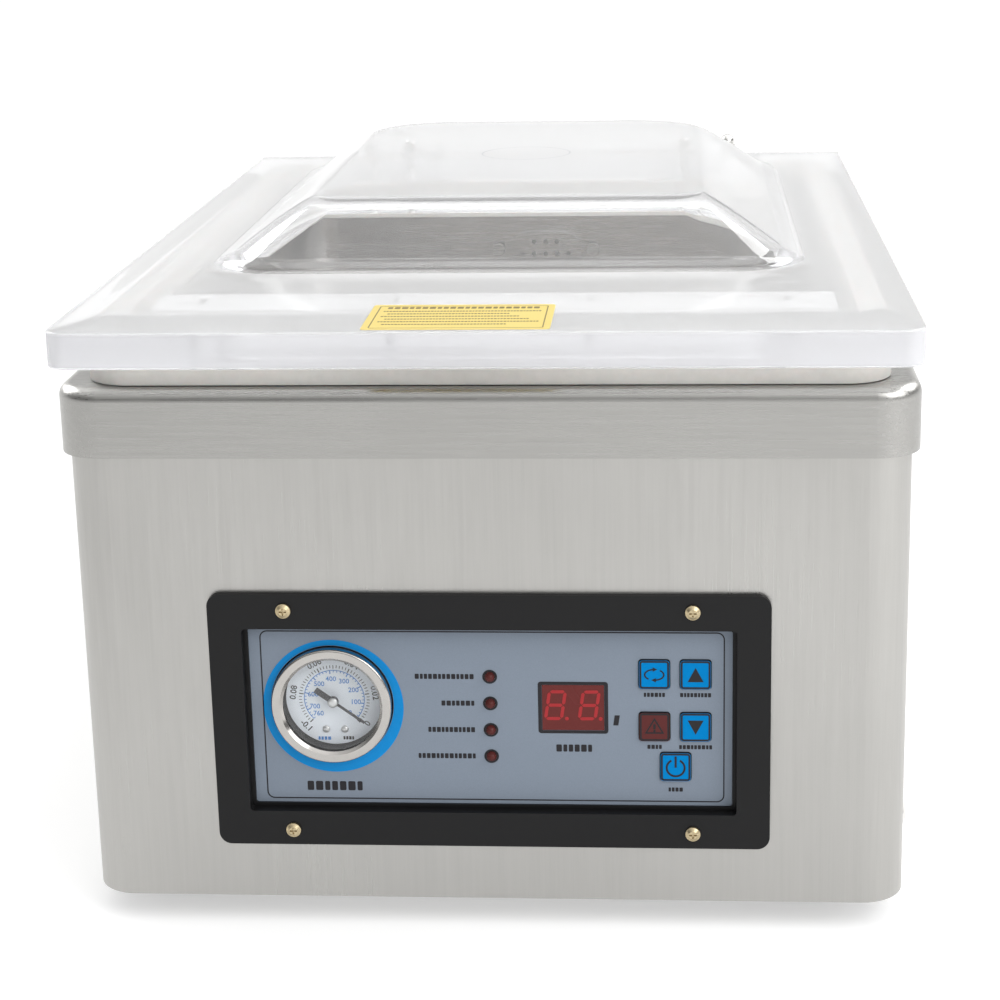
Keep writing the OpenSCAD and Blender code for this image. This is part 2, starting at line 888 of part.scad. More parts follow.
module bezel_screws() {
    color("goldenrod")
        for (sx = [-1, 1], sz = [-1, 1])
            translate([sx * screw_x, bezel_y, panel_z + sz * screw_dz])
                rotate([90, 0, 0])
                    pan_screw(2.9, 1.8, 1.5, 10);
}

function key_places() = [[64.1, 18.5], [80.1, 18.5], [64.1, -3.3], [80.1, -3.3], [72.3, -20.1]];

module membrane_panel() {
    window_play = 0.2;
    key_hole = key_s + 0.7;
    through = 3;
    color("slategray")
        difference() {
            plate_y(0, panel_y, panel_y + membrane_t, panel_z, plug_w, plug_h, plug_r);
            rod_y(gauge_x, panel_y - cut, panel_y + through, gauge_z, gauge_d / 2 + 0.4);
            for (i = [0 : 3])
                rod_y(led_x, panel_y - cut, panel_y + through, led_top_z - i * led_pitch, led_r + 0.15);
            translate([display_x, panel_y, display_z])
                cube([display_w + window_play, 2 * through, display_h + window_play], center = true);
            for (k = key_places())
                plate_y(k.x, panel_y - cut, panel_y + through, panel_z + k.y, key_hole, key_hole, 1.5);
        }
}

module panel_bracket() {
    through = 3;
    color("gainsboro")
        difference() {
            plate_y(0, bracket_y, bracket_y + bracket_t, panel_z, plug_w + 15, plug_h + 16, 2);
            rod_y(gauge_x, bracket_y - cut, bracket_y + through, gauge_z, gauge_case_r + 0.7);
            plate_y(44, bracket_y - cut, bracket_y + through, panel_z, 104, 70, 3);
            for (sx = [-1, 1], sz = [-1, 1])
                rod_y(sx * screw_x, bracket_y - cut, bracket_y + through, panel_z + sz * screw_dz, 1.5);
            for (p = standoff_places())
                rod_y(p.x, bracket_y - cut, bracket_y + through, p.y, 1.6);
        }
}

function standoff_places() = [for (x = [-12, 100], s = [-1, 1]) [x, panel_z + s * 39.5]];

// Square key cap with a plunger behind it
module key_cap(k, shade) {
    cap_t = 2;
    stem_r = 1.6;
    switch_h = 3.3;
    color(shade) {
        plate_y(k.x, panel_y - key_proud, panel_y + cap_t, panel_z + k.y, key_s, key_s, 1.3);
        rod_y(k.x, panel_y + cap_t - lap, board_y - switch_h, panel_z + k.y, stem_r);
    }
}

module key_mode() {
    key_cap(key_places()[0], "steelblue");
}

module key_up() {
    key_cap(key_places()[1], "steelblue");
}

module key_stop() {
    key_cap(key_places()[2], "firebrick");
}

module key_down() {
    key_cap(key_places()[3], "steelblue");
}

module key_start() {
    key_cap(key_places()[4], "steelblue");
}

module display_window() {
    window_t = 1.2;
    color("darkred")
        translate([display_x, panel_y + window_t / 2, display_z])
            cube([display_w, window_t, display_h], center = true);
}

module display_module() {
    y0 = panel_y + 1.3;
    color("black")
        translate([display_x, (y0 + board_y) / 2, display_z])
            cube([display_w - 1.5, board_y - y0, display_h - 1], center = true);
}

module indicator_leds() {
    dome_y = panel_y - 0.6;
    base_y = panel_y + 3.6;
    base_t = 1;
    leg = 0.5;
    leg_y = base_y + base_t - lap;
    color("maroon")
        for (i = [0 : 3]) {
            z = led_top_z - i * led_pitch;
            translate([led_x, dome_y, z]) sphere(r = 1.7);
            rod_y(led_x, dome_y, base_y + base_t, z, led_r);
            rod_y(led_x, base_y, base_y + base_t, z, 2.4);
            for (s = [-1, 1])
                translate([led_x + s * 1.27, (leg_y + board_y) / 2, z])
                    cube([leg, board_y - leg_y, leg], center = true);
        }
}

// Circuit board with the key switches on its front and parts on its back
module control_board() {
    back_y = board_y + board_t;
    board_x0 = -18;
    board_x1 = 106;
    board_h = 90;
    switch_s = [6, 2.5, 6];
    relay_w = 16;
    relay_h = 12;
    relay_pitch = 22;
    color("darkgreen") {
        difference() {
            box([board_x0, board_y, panel_z - board_h / 2], [board_x1, back_y, panel_z + board_h / 2]);
            for (p = standoff_places())
                rod_y(p.x, board_y - cut, board_y + 3, p.y, 1.6);
        }
        for (k = key_places())
            translate([k.x, board_y - switch_s.y / 2, panel_z + k.y])
                cube(switch_s, center = true);
        box([0, back_y, panel_z - 30], [28, back_y + 16, panel_z - 8]);
        for (i = [0 : 3])
            translate([6 + i * relay_pitch, back_y, panel_z + 20])
                cube([relay_w, 13, relay_h]);
        rod_y(60, back_y, back_y + 14, panel_z - 20, 7);
    }
}

module board_standoffs() {
    color("goldenrod")
        for (p = standoff_places()) {
            translate([p.x, board_y, p.y])
                rotate([90, 0, 0])
                    cylinder(h = board_y - bracket_y - bracket_t, r = 3, $fn = 6);
            rod_y(p.x, bracket_y, board_y + board_t, p.y, 1.5);
            rod_y(p.x, board_y + board_t, board_y + board_t + 2, p.y, 2.8);
        }
}

// ---------------------------------------------------------------- vacuum gauge

module gauge_case() {
    back_y = panel_y + 30;
    stem_y = panel_y + 46;
    stem_z = gauge_z - 9;
    color("dimgray")
        difference() {
            union() {
                rod_y(gauge_x, panel_y + 1.2, back_y, gauge_z, gauge_case_r);
                rod_y(gauge_x, back_y, stem_y, stem_z, 5);
                translate([gauge_x, back_y + 3, stem_z])
                    rotate([-90, 0, 0])
                        cylinder(h = 6, r = 7, $fn = 6);
            }
            rod_y(gauge_x, panel_y + 0.5, dial_y + 8, gauge_z, dial_r + 0.6);
        }
}

// Rolled ring that holds the glass, with a round outer edge and a coned inner lip
module gauge_bezel() {
    r = gauge_d / 2;
    roll_r = 1;
    roll_z = 4.1;
    lip_r = glass_r - 1.2;
    lip_z = 4;
    h = roll_z + roll_r;
    color("silver")
        translate([gauge_x, panel_y + 1.1, gauge_z])
            rotate([90, 0, 0])
                difference() {
                    union() {
                        cylinder(h = roll_z, r = r);
                        cylinder(h = h, r = r - roll_r);
                        translate([0, 0, roll_z])
                            rotate_extrude()
                                translate([r - roll_r, 0])
                                    circle(roll_r);
                    }
                    translate([0, 0, -cut]) cylinder(h = 8, r = lip_r);
                    translate([0, 0, -cut]) cylinder(h = lip_z - lap + cut, r = glass_r);
                    translate([0, 0, lip_z]) cylinder(h = h - lip_z + lap, r1 = lip_r, r2 = glass_r);
                }
}

module gauge_glass() {
    glass_t = 1.2;
    y1 = panel_y - 1.5;
    color("white", 0.4)
        rod_y(gauge_x, y1 - glass_t, y1, gauge_z, glass_r - lap);
}

module gauge_dial() {
    color("white")
        difference() {
            rod_y(gauge_x, dial_y, dial_y + 0.6, gauge_z, dial_r);
            rod_y(gauge_x, dial_y - cut, dial_y + 3, gauge_z, spindle_r + play);
        }
}

// Pointer with a broad tail, its hub cap and the spindle behind it
module gauge_pointer() {
    blade_y = dial_y - 3.2;
    blade_t = 0.4;
    color("black")
        translate([gauge_x, 0, gauge_z])
            rotate([0, -pointer_angle, 0]) {
                translate([8, blade_y, 0]) cube([14, blade_t, 1], center = true);
                translate([-4.5, blade_y, 0]) cube([8, blade_t, 2.4], center = true);
                rod_y(0, blade_y - 1, blade_y + 0.6, 0, 2.1);
                rod_y(0, blade_y + 0.2, dial_y + 5, 0, spindle_r);
            }
}

// ---------------------------------------------------------------- vacuum pump

function mount_places() = [for (x = [-98, 78], y = [-38, 38]) [x, pump_y + y]];

module pump_housing() {
    x0 = -122;
    x1 = motor_x0 - 14;
    half_d = 52;
    z0 = 36;
    z1 = 148;
    rib_t = 4;
    rib_pitch = 13;
    rib_x0 = x0 + 6;
    color("dimgray")
        difference() {
            union() {
                box([x0, pump_y - half_d, z0], [x1, pump_y + half_d, z1]);
                rod_x(x1 - 1, motor_x0, pump_y, pump_z, 46);
                rod_x(x0 - 14, x0, pump_y, pump_z - 8, 38);
                translate([inlet_port_x, inlet_port_y, z1 - 1]) cylinder(h = 2.5, r = 11);
                translate([-48, pump_y - 20, z1 - 1]) cylinder(h = 8, r = 9, $fn = 6);
                for (i = [0 : 6])
                    box([rib_x0 + i * rib_pitch, pump_y - half_d - 4, z0 + 8],
                        [rib_x0 + i * rib_pitch + rib_t, pump_y + half_d + 4, z1 - 8]);
                box([x0, pump_y - half_d, mount_top], [x1, pump_y + half_d, z0 + 1]);
            }
            rod_y(glass_x, pump_y - half_d - 10, glass_y, glass_z, sight_r);
            translate([inlet_port_x, inlet_port_y, z1 - 8]) cylinder(h = 30, r = 6);
            mount_holes();
        }
}

module mount_holes() {
    for (p = mount_places())
        translate([p.x, p.y, mount_top - 4]) cylinder(h = 12, r = m6_hole_r);
}

module oil_sight_glass() {
    flange_y = glass_y - 13;
    color("khaki") {
        rod_y(glass_x, flange_y, glass_y, glass_z, sight_r);
        rod_y(glass_x, flange_y - 2, flange_y + lap, glass_z, sight_r + 2);
    }
}

module pump_motor() {
    fin_h = 8;
    box_x = motor_x0 + 34;
    pad_x = motor_x0 + 30;
    pad_y = 38;
    color("slategray")
        difference() {
            union() {
                rod_x(motor_x0, motor_x0 + motor_l, pump_y, pump_z, motor_r - 6);
                for (i = [0 : 23])
                    translate([motor_x0 + motor_l / 2 + 2, pump_y, pump_z])
                        rotate([i * 15, 0, 0])
                            translate([0, 0, motor_r - 5])
                                cube([motor_l - 24, 2, fin_h], center = true);
                box([box_x, pump_y - 22, pump_z + 40], [box_x + 60, pump_y + 22, pump_z + 68]);
                for (y = [-1, 1])
                    box([pad_x, pump_y + y * pad_y - 9, mount_top],
                        [pad_x + 72, pump_y + y * pad_y + 9, mount_top + 40]);
            }
            mount_holes();
            rod_x(motor_x0 + motor_l - 6, motor_x0 + motor_l + 2, pump_y, pump_z, shaft_r);
        }
}

module cooling_fan() {
    x0 = motor_x0 + motor_l + 4;
    hub_l = 18;
    hub_r = 14;
    blade = [14, 2, 30];
    blades = 7;
    color("whitesmoke") {
        rod_x(x0, x0 + hub_l, pump_y, pump_z, hub_r);
        rod_x(x0 - 9.5, x0 + cut, pump_y, pump_z, shaft_r - play);
        for (i = [0 : blades - 1])
            translate([x0 + hub_l / 2, pump_y, pump_z])
                rotate([i * 360 / blades, 0, 0])
                    translate([0, 0, hub_r - 2 + blade.z / 2])
                        rotate([0, 0, 30])
                            cube(blade, center = true);
    }
}

module fan_cowl() {
    x0 = motor_x0 + motor_l - 10;
    x1 = x0 + cowl_l + 10;
    wall = 1.8;
    color("darkslategray")
        difference() {
            rod_x(x0, x1, pump_y, pump_z, motor_r + 1);
            rod_x(x0 - cut, x1 - 2, pump_y, pump_z, motor_r + 1 - wall);
            for (i = [0 : 11], r = [18, 30, 42])
                translate([x1 - 5, pump_y, pump_z])
                    rotate([i * 30, 0, 0])
                        translate([0, 0, r])
                            rotate([0, 90, 0])
                                cylinder(h = 8, r = 1.5 + r / 18);
        }
}

module pump_mounts() {
    color("dimgray")
        for (p = mount_places())
            translate([p.x, p.y, 0]) {
                translate([0, 0, floor_top]) cylinder(h = mount_top - floor_top, r = 9);
                translate([0, 0, z_body + 0.2]) cylinder(h = 18, r = m6_hole_r - lap);
            }
}

// Quarter bend of a pipe: centre line radius R, pipe radius r
module bend(R, r) {
    rotate_extrude(angle = 90)
        translate([R, 0])
            circle(r);
}

// Hose from the chamber's rear wall, down behind the pan and across to the pump inlet
module vacuum_hose() {
    z0 = port_z;
    z1 = 160;
    y1 = well_rear_y + 26;
    r = 7;
    bend_r = 12;
    drop_r = 10.5;
    y2 = inlet_port_y + drop_r;
    flange_y = well_rear_y + well_t;
    color("whitesmoke") {
        difference() {
            rod_y(0, flange_y, flange_y + bend_r, z0, 11);
            rod_y(0, flange_y - cut, flange_y + 10, z0, r);
        }
        translate([0, y1 - bend_r, z0 - bend_r]) rotate([0, -90, 0]) bend(bend_r, r);
        translate([0, y1, z1 + bend_r]) cylinder(h = z0 - 2 * bend_r - z1, r = r);
        translate([-bend_r, y1, z1 + bend_r]) rotate([-90, 0, 0]) bend(bend_r, r);
        rod_x(inlet_port_x + bend_r, -bend_r, y1, z1, r);
        translate([inlet_port_x + bend_r, y1 - bend_r, z1]) rotate([0, 0, 90]) bend(bend_r, r);
        rod_y(inlet_port_x, y2, y1 - bend_r, z1, r);
        translate([inlet_port_x, y2, z1 - drop_r]) rotate([0, -90, 180]) bend(drop_r, r);
    }
}

module solenoid_valves() {
    block_h = 26;
    coil_h = 34;
    pitch = 48;
    for (i = [0, 1])
        translate([40 + i * pitch, -60, 0]) {
            color("goldenrod")
                box([-14, -12, floor_top], [14, 12, z_body + block_h]);
            color("darkslateblue")
                translate([0, 0, z_body + block_h]) slab(28, 30, coil_h, 4);
            color("silver")
                translate([0, 0, z_body + block_h + coil_h]) cylinder(h = 6, r = 6);
            color("goldenrod")
                rod_y(0, 11, 26, z_body + 14, 5);
        }
}

module seal_transformer() {
    core = [76, 40, 66];
    leg_w = 13;
    window_w = 18;
    window_pitch = 32;
    window_h = 40;
    overhang = 12;
    coil_z = 14;
    x1 = leg_w + 1;
    bore_x = leg_w + window_w - lap;
    translate([-120, -140, floor_top]) {
        color("dimgray")
            difference() {
                cube(core);
                for (i = [0, 1])
                    translate([leg_w + i * window_pitch, -cut, leg_w])
                        cube([window_w, core.y + 2 * cut, window_h]);
            }
        color("peru")
            difference() {
                box([x1, -overhang, coil_z], [core.x - x1, core.y + overhang, core.z - coil_z]);
                box([bore_x, -lap, coil_z - 2], [core.x - bore_x, core.y + lap, core.z - coil_z + 2]);
            }
    }
}

module motor_capacitor() {
    can_h = 72;
    color("gainsboro")
        translate([126, -30, floor_top]) {
            cylinder(h = can_h, r = 20);
            translate([0, 0, can_h - 0.5]) cylinder(h = 6, r = 5);
        }
}

// ---------------------------------------------------------------- rear fittings

module power_inlet() {
    y1 = body_rear_y + sheet_t;
    flange = [50, 3, 24];
    body = [27, 22, 19];
    wall = 2;
    color("black")
        translate([inlet_x, 0, inlet_z]) {
            difference() {
                union() {
                    box([-flange.x / 2, y1, -flange.z / 2], [flange.x / 2, y1 + flange.y, flange.z / 2]);
                    box([-body.x / 2, y1 - body.y, -body.z / 2], [body.x / 2, y1 + lap, body.z / 2]);
                }
                box([wall - body.x / 2, y1 - 17, wall - body.z / 2],
                    [body.x / 2 - wall, y1 + flange.y + cut, body.z / 2 - wall]);
                for (s = [-1, 1])
                    rod_y(s * 20, y1 - cut, y1 + flange.y + cut, 0, m3_hole_r);
            }
            for (p = [[-6.5, -1], [0, 2.5], [6.5, -1]])
                translate([p.x, y1 - 11, p.y]) cube([2, 14, 4], center = true);
        }
}

module fuse_holder() {
    y1 = body_rear_y + sheet_t;
    flange_t = 3;
    color("black") {
        rod_y(fuse_x, y1 - 30, y1 + lap, inlet_z, fuse_r);
        rod_y(fuse_x, y1, y1 + flange_t, inlet_z, 8.5);
        rod_y(fuse_x, y1 + flange_t, y1 + 11, inlet_z, 6);
    }
}

module exhaust_port() {
    y1 = body_rear_y + sheet_t;
    flange_t = 3;
    color("darkgray")
        difference() {
            union() {
                rod_y(exhaust_x, y1 - 20, overall_d / 2, exhaust_z, exhaust_r);
                rod_y(exhaust_x, y1, y1 + flange_t, exhaust_z, 14);
                translate([exhaust_x, y1 + flange_t, exhaust_z])
                    rotate([-90, 0, 0])
                        cylinder(h = 6, r = 12, $fn = 6);
            }
            rod_y(exhaust_x, y1 - 25, overall_d / 2 + cut, exhaust_z, 6);
        }
}

body_shell();
base_plate();
rear_panel();
rear_panel_screws();
side_screws();
rubber_feet();
foot_screws();
chamber_pan();
lid();
lid_gasket();
pressure_bar_holder();
silicone_strip();
pressure_bar_screws();
lid_hinge_leaves();
hinge_brackets();
hinge_pins();
torsion_springs();
hinge_bolts();
cap_nuts();
bracket_screws();
seal_bar();
heating_wires();
ptfe_tape();
contact_blocks();
lift_rods();
lift_cylinders();
suction_cover();
suction_screws();
panel_bezel();
bezel_screws();
membrane_panel();
panel_bracket();
key_mode();
key_up();
key_stop();
key_down();
key_start();
display_window();
display_module();
indicator_leds();
control_board();
board_standoffs();
gauge_case();
gauge_bezel();
gauge_dial();
gauge_glass();
gauge_pointer();
pump_housing();
pump_motor();
cooling_fan();
fan_cowl();
pump_mounts();
oil_sight_glass();
vacuum_hose();
solenoid_valves();
seal_transformer();
motor_capacitor();
power_inlet();
fuse_holder();
exhaust_port();
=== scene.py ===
"""Looks of the vacuum chamber sealer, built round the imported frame. Metres, Z up, front towards -Y."""
import json
import math
import bmesh
import bpy
from mathutils import Matrix, Quaternion, Vector


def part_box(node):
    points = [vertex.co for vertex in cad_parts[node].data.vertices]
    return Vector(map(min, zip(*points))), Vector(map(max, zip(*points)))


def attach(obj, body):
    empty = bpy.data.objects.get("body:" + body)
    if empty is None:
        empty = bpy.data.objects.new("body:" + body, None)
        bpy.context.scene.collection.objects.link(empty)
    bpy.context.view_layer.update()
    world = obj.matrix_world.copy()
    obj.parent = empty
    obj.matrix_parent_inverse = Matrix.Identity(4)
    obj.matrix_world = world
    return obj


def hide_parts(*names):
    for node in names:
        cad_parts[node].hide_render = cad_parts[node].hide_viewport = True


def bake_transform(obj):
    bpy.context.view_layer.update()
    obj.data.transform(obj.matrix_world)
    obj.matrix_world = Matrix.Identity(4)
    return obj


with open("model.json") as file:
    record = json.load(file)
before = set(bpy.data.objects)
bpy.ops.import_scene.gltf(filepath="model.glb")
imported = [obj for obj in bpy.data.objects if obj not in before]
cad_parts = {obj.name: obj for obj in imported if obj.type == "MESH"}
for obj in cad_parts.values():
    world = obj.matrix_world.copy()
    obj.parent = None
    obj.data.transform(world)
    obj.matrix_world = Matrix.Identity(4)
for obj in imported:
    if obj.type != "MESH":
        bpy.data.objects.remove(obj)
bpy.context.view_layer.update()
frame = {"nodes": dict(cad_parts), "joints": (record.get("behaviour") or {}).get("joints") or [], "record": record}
NODES = frame["nodes"]
MM = 0.001

# ------------------------------------------------------------------ camera

CAM_PLACE = (0.0727, -1.0185, 0.4223)
CAM_FORWARD = (-0.0656, 0.9663, -0.2490)
CAM_ROLL = math.radians(-1.1)
CAM_LENS = 78.1
CAM_SHIFT = (-0.0332, -0.1059)
CAM_SENSOR = 36
CAM_REACH = 100


def make_camera():
    """The photograph's camera, fitted to the lid, the band, the body and the bezel."""
    data = bpy.data.cameras.new("camera")
    cam = bpy.data.objects.new("camera", data)
    bpy.context.scene.collection.objects.link(cam)
    cam.location = CAM_PLACE
    turn = Vector(CAM_FORWARD).to_track_quat("-Z", "Y")
    cam.rotation_mode = "QUATERNION"
    cam.rotation_quaternion = turn @ Quaternion((0, 0, 1), CAM_ROLL)
    data.sensor_width = CAM_SENSOR
    data.lens = CAM_LENS
    data.shift_x, data.shift_y = CAM_SHIFT
    data.clip_end = CAM_REACH
    bpy.context.scene.camera = cam


# ------------------------------------------------------------------ materials

# The Mix node's sockets for colours
MIX_FACTOR, MIX_A, MIX_B, MIX_RESULT = 0, 6, 7, 2


class Shade:
    """One node material: a Principled shader, with noise, ramps and bump added by name."""

    def __init__(self, name, colour, roughness, metallic=0.0, **sockets):
        self.mat = bpy.data.materials.new(name)
        self.mat.use_nodes = True
        self.tree = self.mat.node_tree
        self.shader = self.tree.nodes["Principled BSDF"]
        self.colour = colour
        self.set(self.shader, "Base Color", (*colour, 1))
        self.set(self.shader, "Roughness", roughness)
        self.set(self.shader, "Metallic", metallic)
        for key, value in sockets.items():
            self.set(self.shader, key.replace("_", " "), value)
        self.coords = self.add("ShaderNodeTexCoord")

    def add(self, kind, **inputs):
        """A node, with values for some of its sockets."""
        node = self.tree.nodes.new(kind)
        for key, value in inputs.items():
            self.set(node, key, value)
        return node

    def set(self, node, socket, value):
        node.inputs[socket].default_value = value

    def link(self, a, out, b, into):
        self.tree.links.new(a.outputs[out], b.inputs[into])

    def noise(self, scale, detail=3.0, roughness=0.6, stretch=(1, 1, 1)):
        """Noise of so many cells a metre, drawn out by stretch along each axis."""
        mapping = self.add("ShaderNodeMapping", Scale=tuple(scale / s for s in stretch))
        self.link(self.coords, "Object", mapping, "Vector")
        noise = self.add("ShaderNodeTexNoise", Scale=1.0, Detail=detail, Roughness=roughness)
        self.link(mapping, "Vector", noise, "Vector")
        return noise

    def spread(self, source, low, high, start=0.3, end=0.7, out="Fac"):
        """A noise brought to the range low to high."""
        ranged = self.add("ShaderNodeMapRange")
        values = (start, end, low, high)
        for key, value in zip(("From Min", "From Max", "To Min", "To Max"), values):
            self.set(ranged, key, value)
        self.link(source, out, ranged, "Value")
        return ranged

    def shade_colour(self, factor):
        """The base colour times a factor that varies over the surface."""
        mix = self.add("ShaderNodeMix")
        mix.data_type = "RGBA"
        mix.blend_type = "MULTIPLY"
        self.set(mix, MIX_FACTOR, 1.0)
        self.set(mix, MIX_A, (*self.colour, 1))
        self.link(factor, "Result", mix, MIX_B)
        self.link(mix, MIX_RESULT, self.shader, "Base Color")

    def vary_roughness(self, factor):
        self.link(factor, "Result", self.shader, "Roughness")

    def bump(self, source, strength, distance, out="Fac", normal=None):
        """Relief of so much depth in metres, on top of another bump where one is given."""
        bump = self.add("ShaderNodeBump", Strength=strength, Distance=distance)
        self.link(source, out, bump, "Height")
        if normal is not None:
            self.link(normal, "Normal", bump, "Normal")
        self.link(bump, "Normal", self.shader, "Normal")
        return bump


def brushed(name, colour, grain, roughness=0.34, depth=0.06, contrast=0.02):
    """Brushed steel: fine scratches drawn out along the grain axis, clouded by handling."""
    s = Shade(name, colour, roughness, metallic=1.0)
    fine_length, mid_length = 90.0, 30.0
    fine_grain = tuple(fine_length if axis == grain else 1.0 for axis in "XYZ")
    mid_grain = tuple(mid_length if axis == grain else 1.0 for axis in "XYZ")
    fine = s.noise(2600, detail=2.0, roughness=0.7, stretch=fine_grain)
    mid = s.noise(420, stretch=mid_grain)
    cloud = s.noise(9, roughness=0.55)
    s.shade_colour(s.spread(mid, 1 - contrast, 1 + contrast))
    both = s.add("ShaderNodeMath")
    s.link(s.spread(cloud, roughness - 0.05, roughness + 0.06), "Result", both, 0)
    s.link(s.spread(fine, -0.06, 0.10), "Result", both, 1)
    s.link(both, "Value", s.shader, "Roughness")
    first = s.bump(fine, depth, 0.06 * MM)
    s.bump(mid, depth * 0.5, 0.12 * MM, normal=first)
    return s.mat


def plated(name, colour, roughness, marks=0.05):
    """Zinc or nickel plating with slight clouding and tiny handling marks."""
    s = Shade(name, colour, roughness, metallic=1.0)
    cloud = s.noise(130, detail=4.0)
    scuffs = s.noise(1500, detail=2.0, roughness=0.5)
    s.shade_colour(s.spread(cloud, 1 - marks, 1 + marks))
    s.vary_roughness(s.spread(cloud, roughness * 0.75, roughness * 1.35))
    s.bump(scuffs, 0.08, 0.04 * MM)
    return s.mat


def moulded(name, colour, roughness, grain=2200, depth=0.22, contrast=0.10, shine=0.5):
    """Moulded plastic or rubber with a fine eroded grain."""
    s = Shade(name, colour, roughness, Specular_IOR_Level=shine)
    texture = s.noise(grain, roughness=0.65)
    cloud = s.noise(22, detail=4.0)
    s.shade_colour(s.spread(cloud, 1 - contrast, 1 + contrast))
    s.vary_roughness(s.spread(cloud, roughness - 0.06, roughness + 0.08))
    s.bump(texture, depth, 0.05 * MM)
    return s.mat


def printed(name, colour, roughness, speck=0.05, shine=0.16):
    """Screen print on satin film: faint ink speckle and a fine film texture."""
    s = Shade(name, colour, roughness, Specular_IOR_Level=shine)
    ink = s.noise(3200, detail=2.0, roughness=0.7)
    cloud = s.noise(14, roughness=0.5)
    s.shade_colour(s.spread(ink, 1 - speck, 1 + speck))
    s.vary_roughness(s.spread(cloud, roughness - 0.04, roughness + 0.05))
    s.bump(ink, 0.10, 0.03 * MM)
    return s.mat


def clear(name, colour, ior, roughness=0.0, wave=0.0, clarity=1.0, dust=0.0):
    """Clear plastic or glass with the slight waviness that forming leaves, and a haze of fine scratches."""
    haze = {"Sheen_Weight": dust, "Sheen_Roughness": 0.4}
    s = Shade(name, colour, roughness, Transmission_Weight=clarity, IOR=ior, **haze)
    smear = s.noise(28, detail=4.0, roughness=0.5)
    s.vary_roughness(s.spread(smear, roughness, roughness + 0.02, start=0.45, end=0.8))
    if wave:
        swell = s.noise(11, detail=1.5, roughness=0.4, stretch=(1, 1.6, 1))
        s.bump(swell, wave, 1.2 * MM)
    return s.mat


def sawn_acrylic(name, colour):
    """The lid's cut and scraped edge: pale and half matt, with faint saw marks."""
    s = Shade(name, colour, 0.24, Transmission_Weight=0.4, IOR=ACRYLIC_IOR)
    marks = s.noise(900, stretch=(14.0, 14.0, 1.0))
    band = s.noise(18, detail=2.0, roughness=0.5, stretch=(1, 1, 0.4))
    s.shade_colour(s.spread(band, 0.985, 1.01))
    s.vary_roughness(s.spread(marks, 0.17, 0.27))
    s.bump(marks, 0.06, 0.1 * MM)
    return s.mat


def silicone(name, colour):
    """Soft silicone that lets a little light in and gathers dust."""
    s = Shade(name, colour, 0.55, Subsurface_Weight=0.15, Subsurface_Scale=4 * MM)
    dust = s.noise(240, detail=4.0, roughness=0.65)
    s.shade_colour(s.spread(dust, 0.93, 1.03))
    s.vary_roughness(s.spread(dust, 0.46, 0.66))
    s.bump(s.noise(700), 0.18, 0.1 * MM)
    return s.mat


def woven(name, colour, pitch):
    """Woven glass cloth with a PTFE coat: crossed threads as bump and tone."""
    s = Shade(name, colour, 0.42)
    wave_cell = 6.28
    waves = []
    for direction in ("X", "Y"):
        wave = s.add("ShaderNodeTexWave", Scale=1.0 / pitch / wave_cell, Distortion=0.4)
        wave.bands_direction = direction
        s.link(s.coords, "Object", wave, "Vector")
        waves.append(wave)
    weave = s.add("ShaderNodeMath")
    weave.operation = "MULTIPLY"
    s.link(waves[0], "Fac", weave, 0)
    s.link(waves[1], "Fac", weave, 1)
    s.shade_colour(s.spread(weave, 0.75, 1.15, start=0.0, end=1.0, out="Value"))
    s.bump(weave, 0.3, 0.1 * MM, out="Value")
    return s.mat


def enamel(name, colour, roughness):
    """Sprayed enamel on a casting, with orange peel and dust."""
    s = Shade(name, colour, roughness, Coat_Weight=0.2, Coat_Roughness=0.2)
    flecks = 0.08
    peel = s.noise(420, detail=2.0, roughness=0.5)
    dust = s.noise(35, detail=5.0, roughness=0.7)
    s.shade_colour(s.spread(dust, 1 - flecks, 1 + flecks))
    s.vary_roughness(s.spread(dust, roughness, roughness + 0.25))
    s.bump(peel, 0.2, 0.15 * MM)
    return s.mat


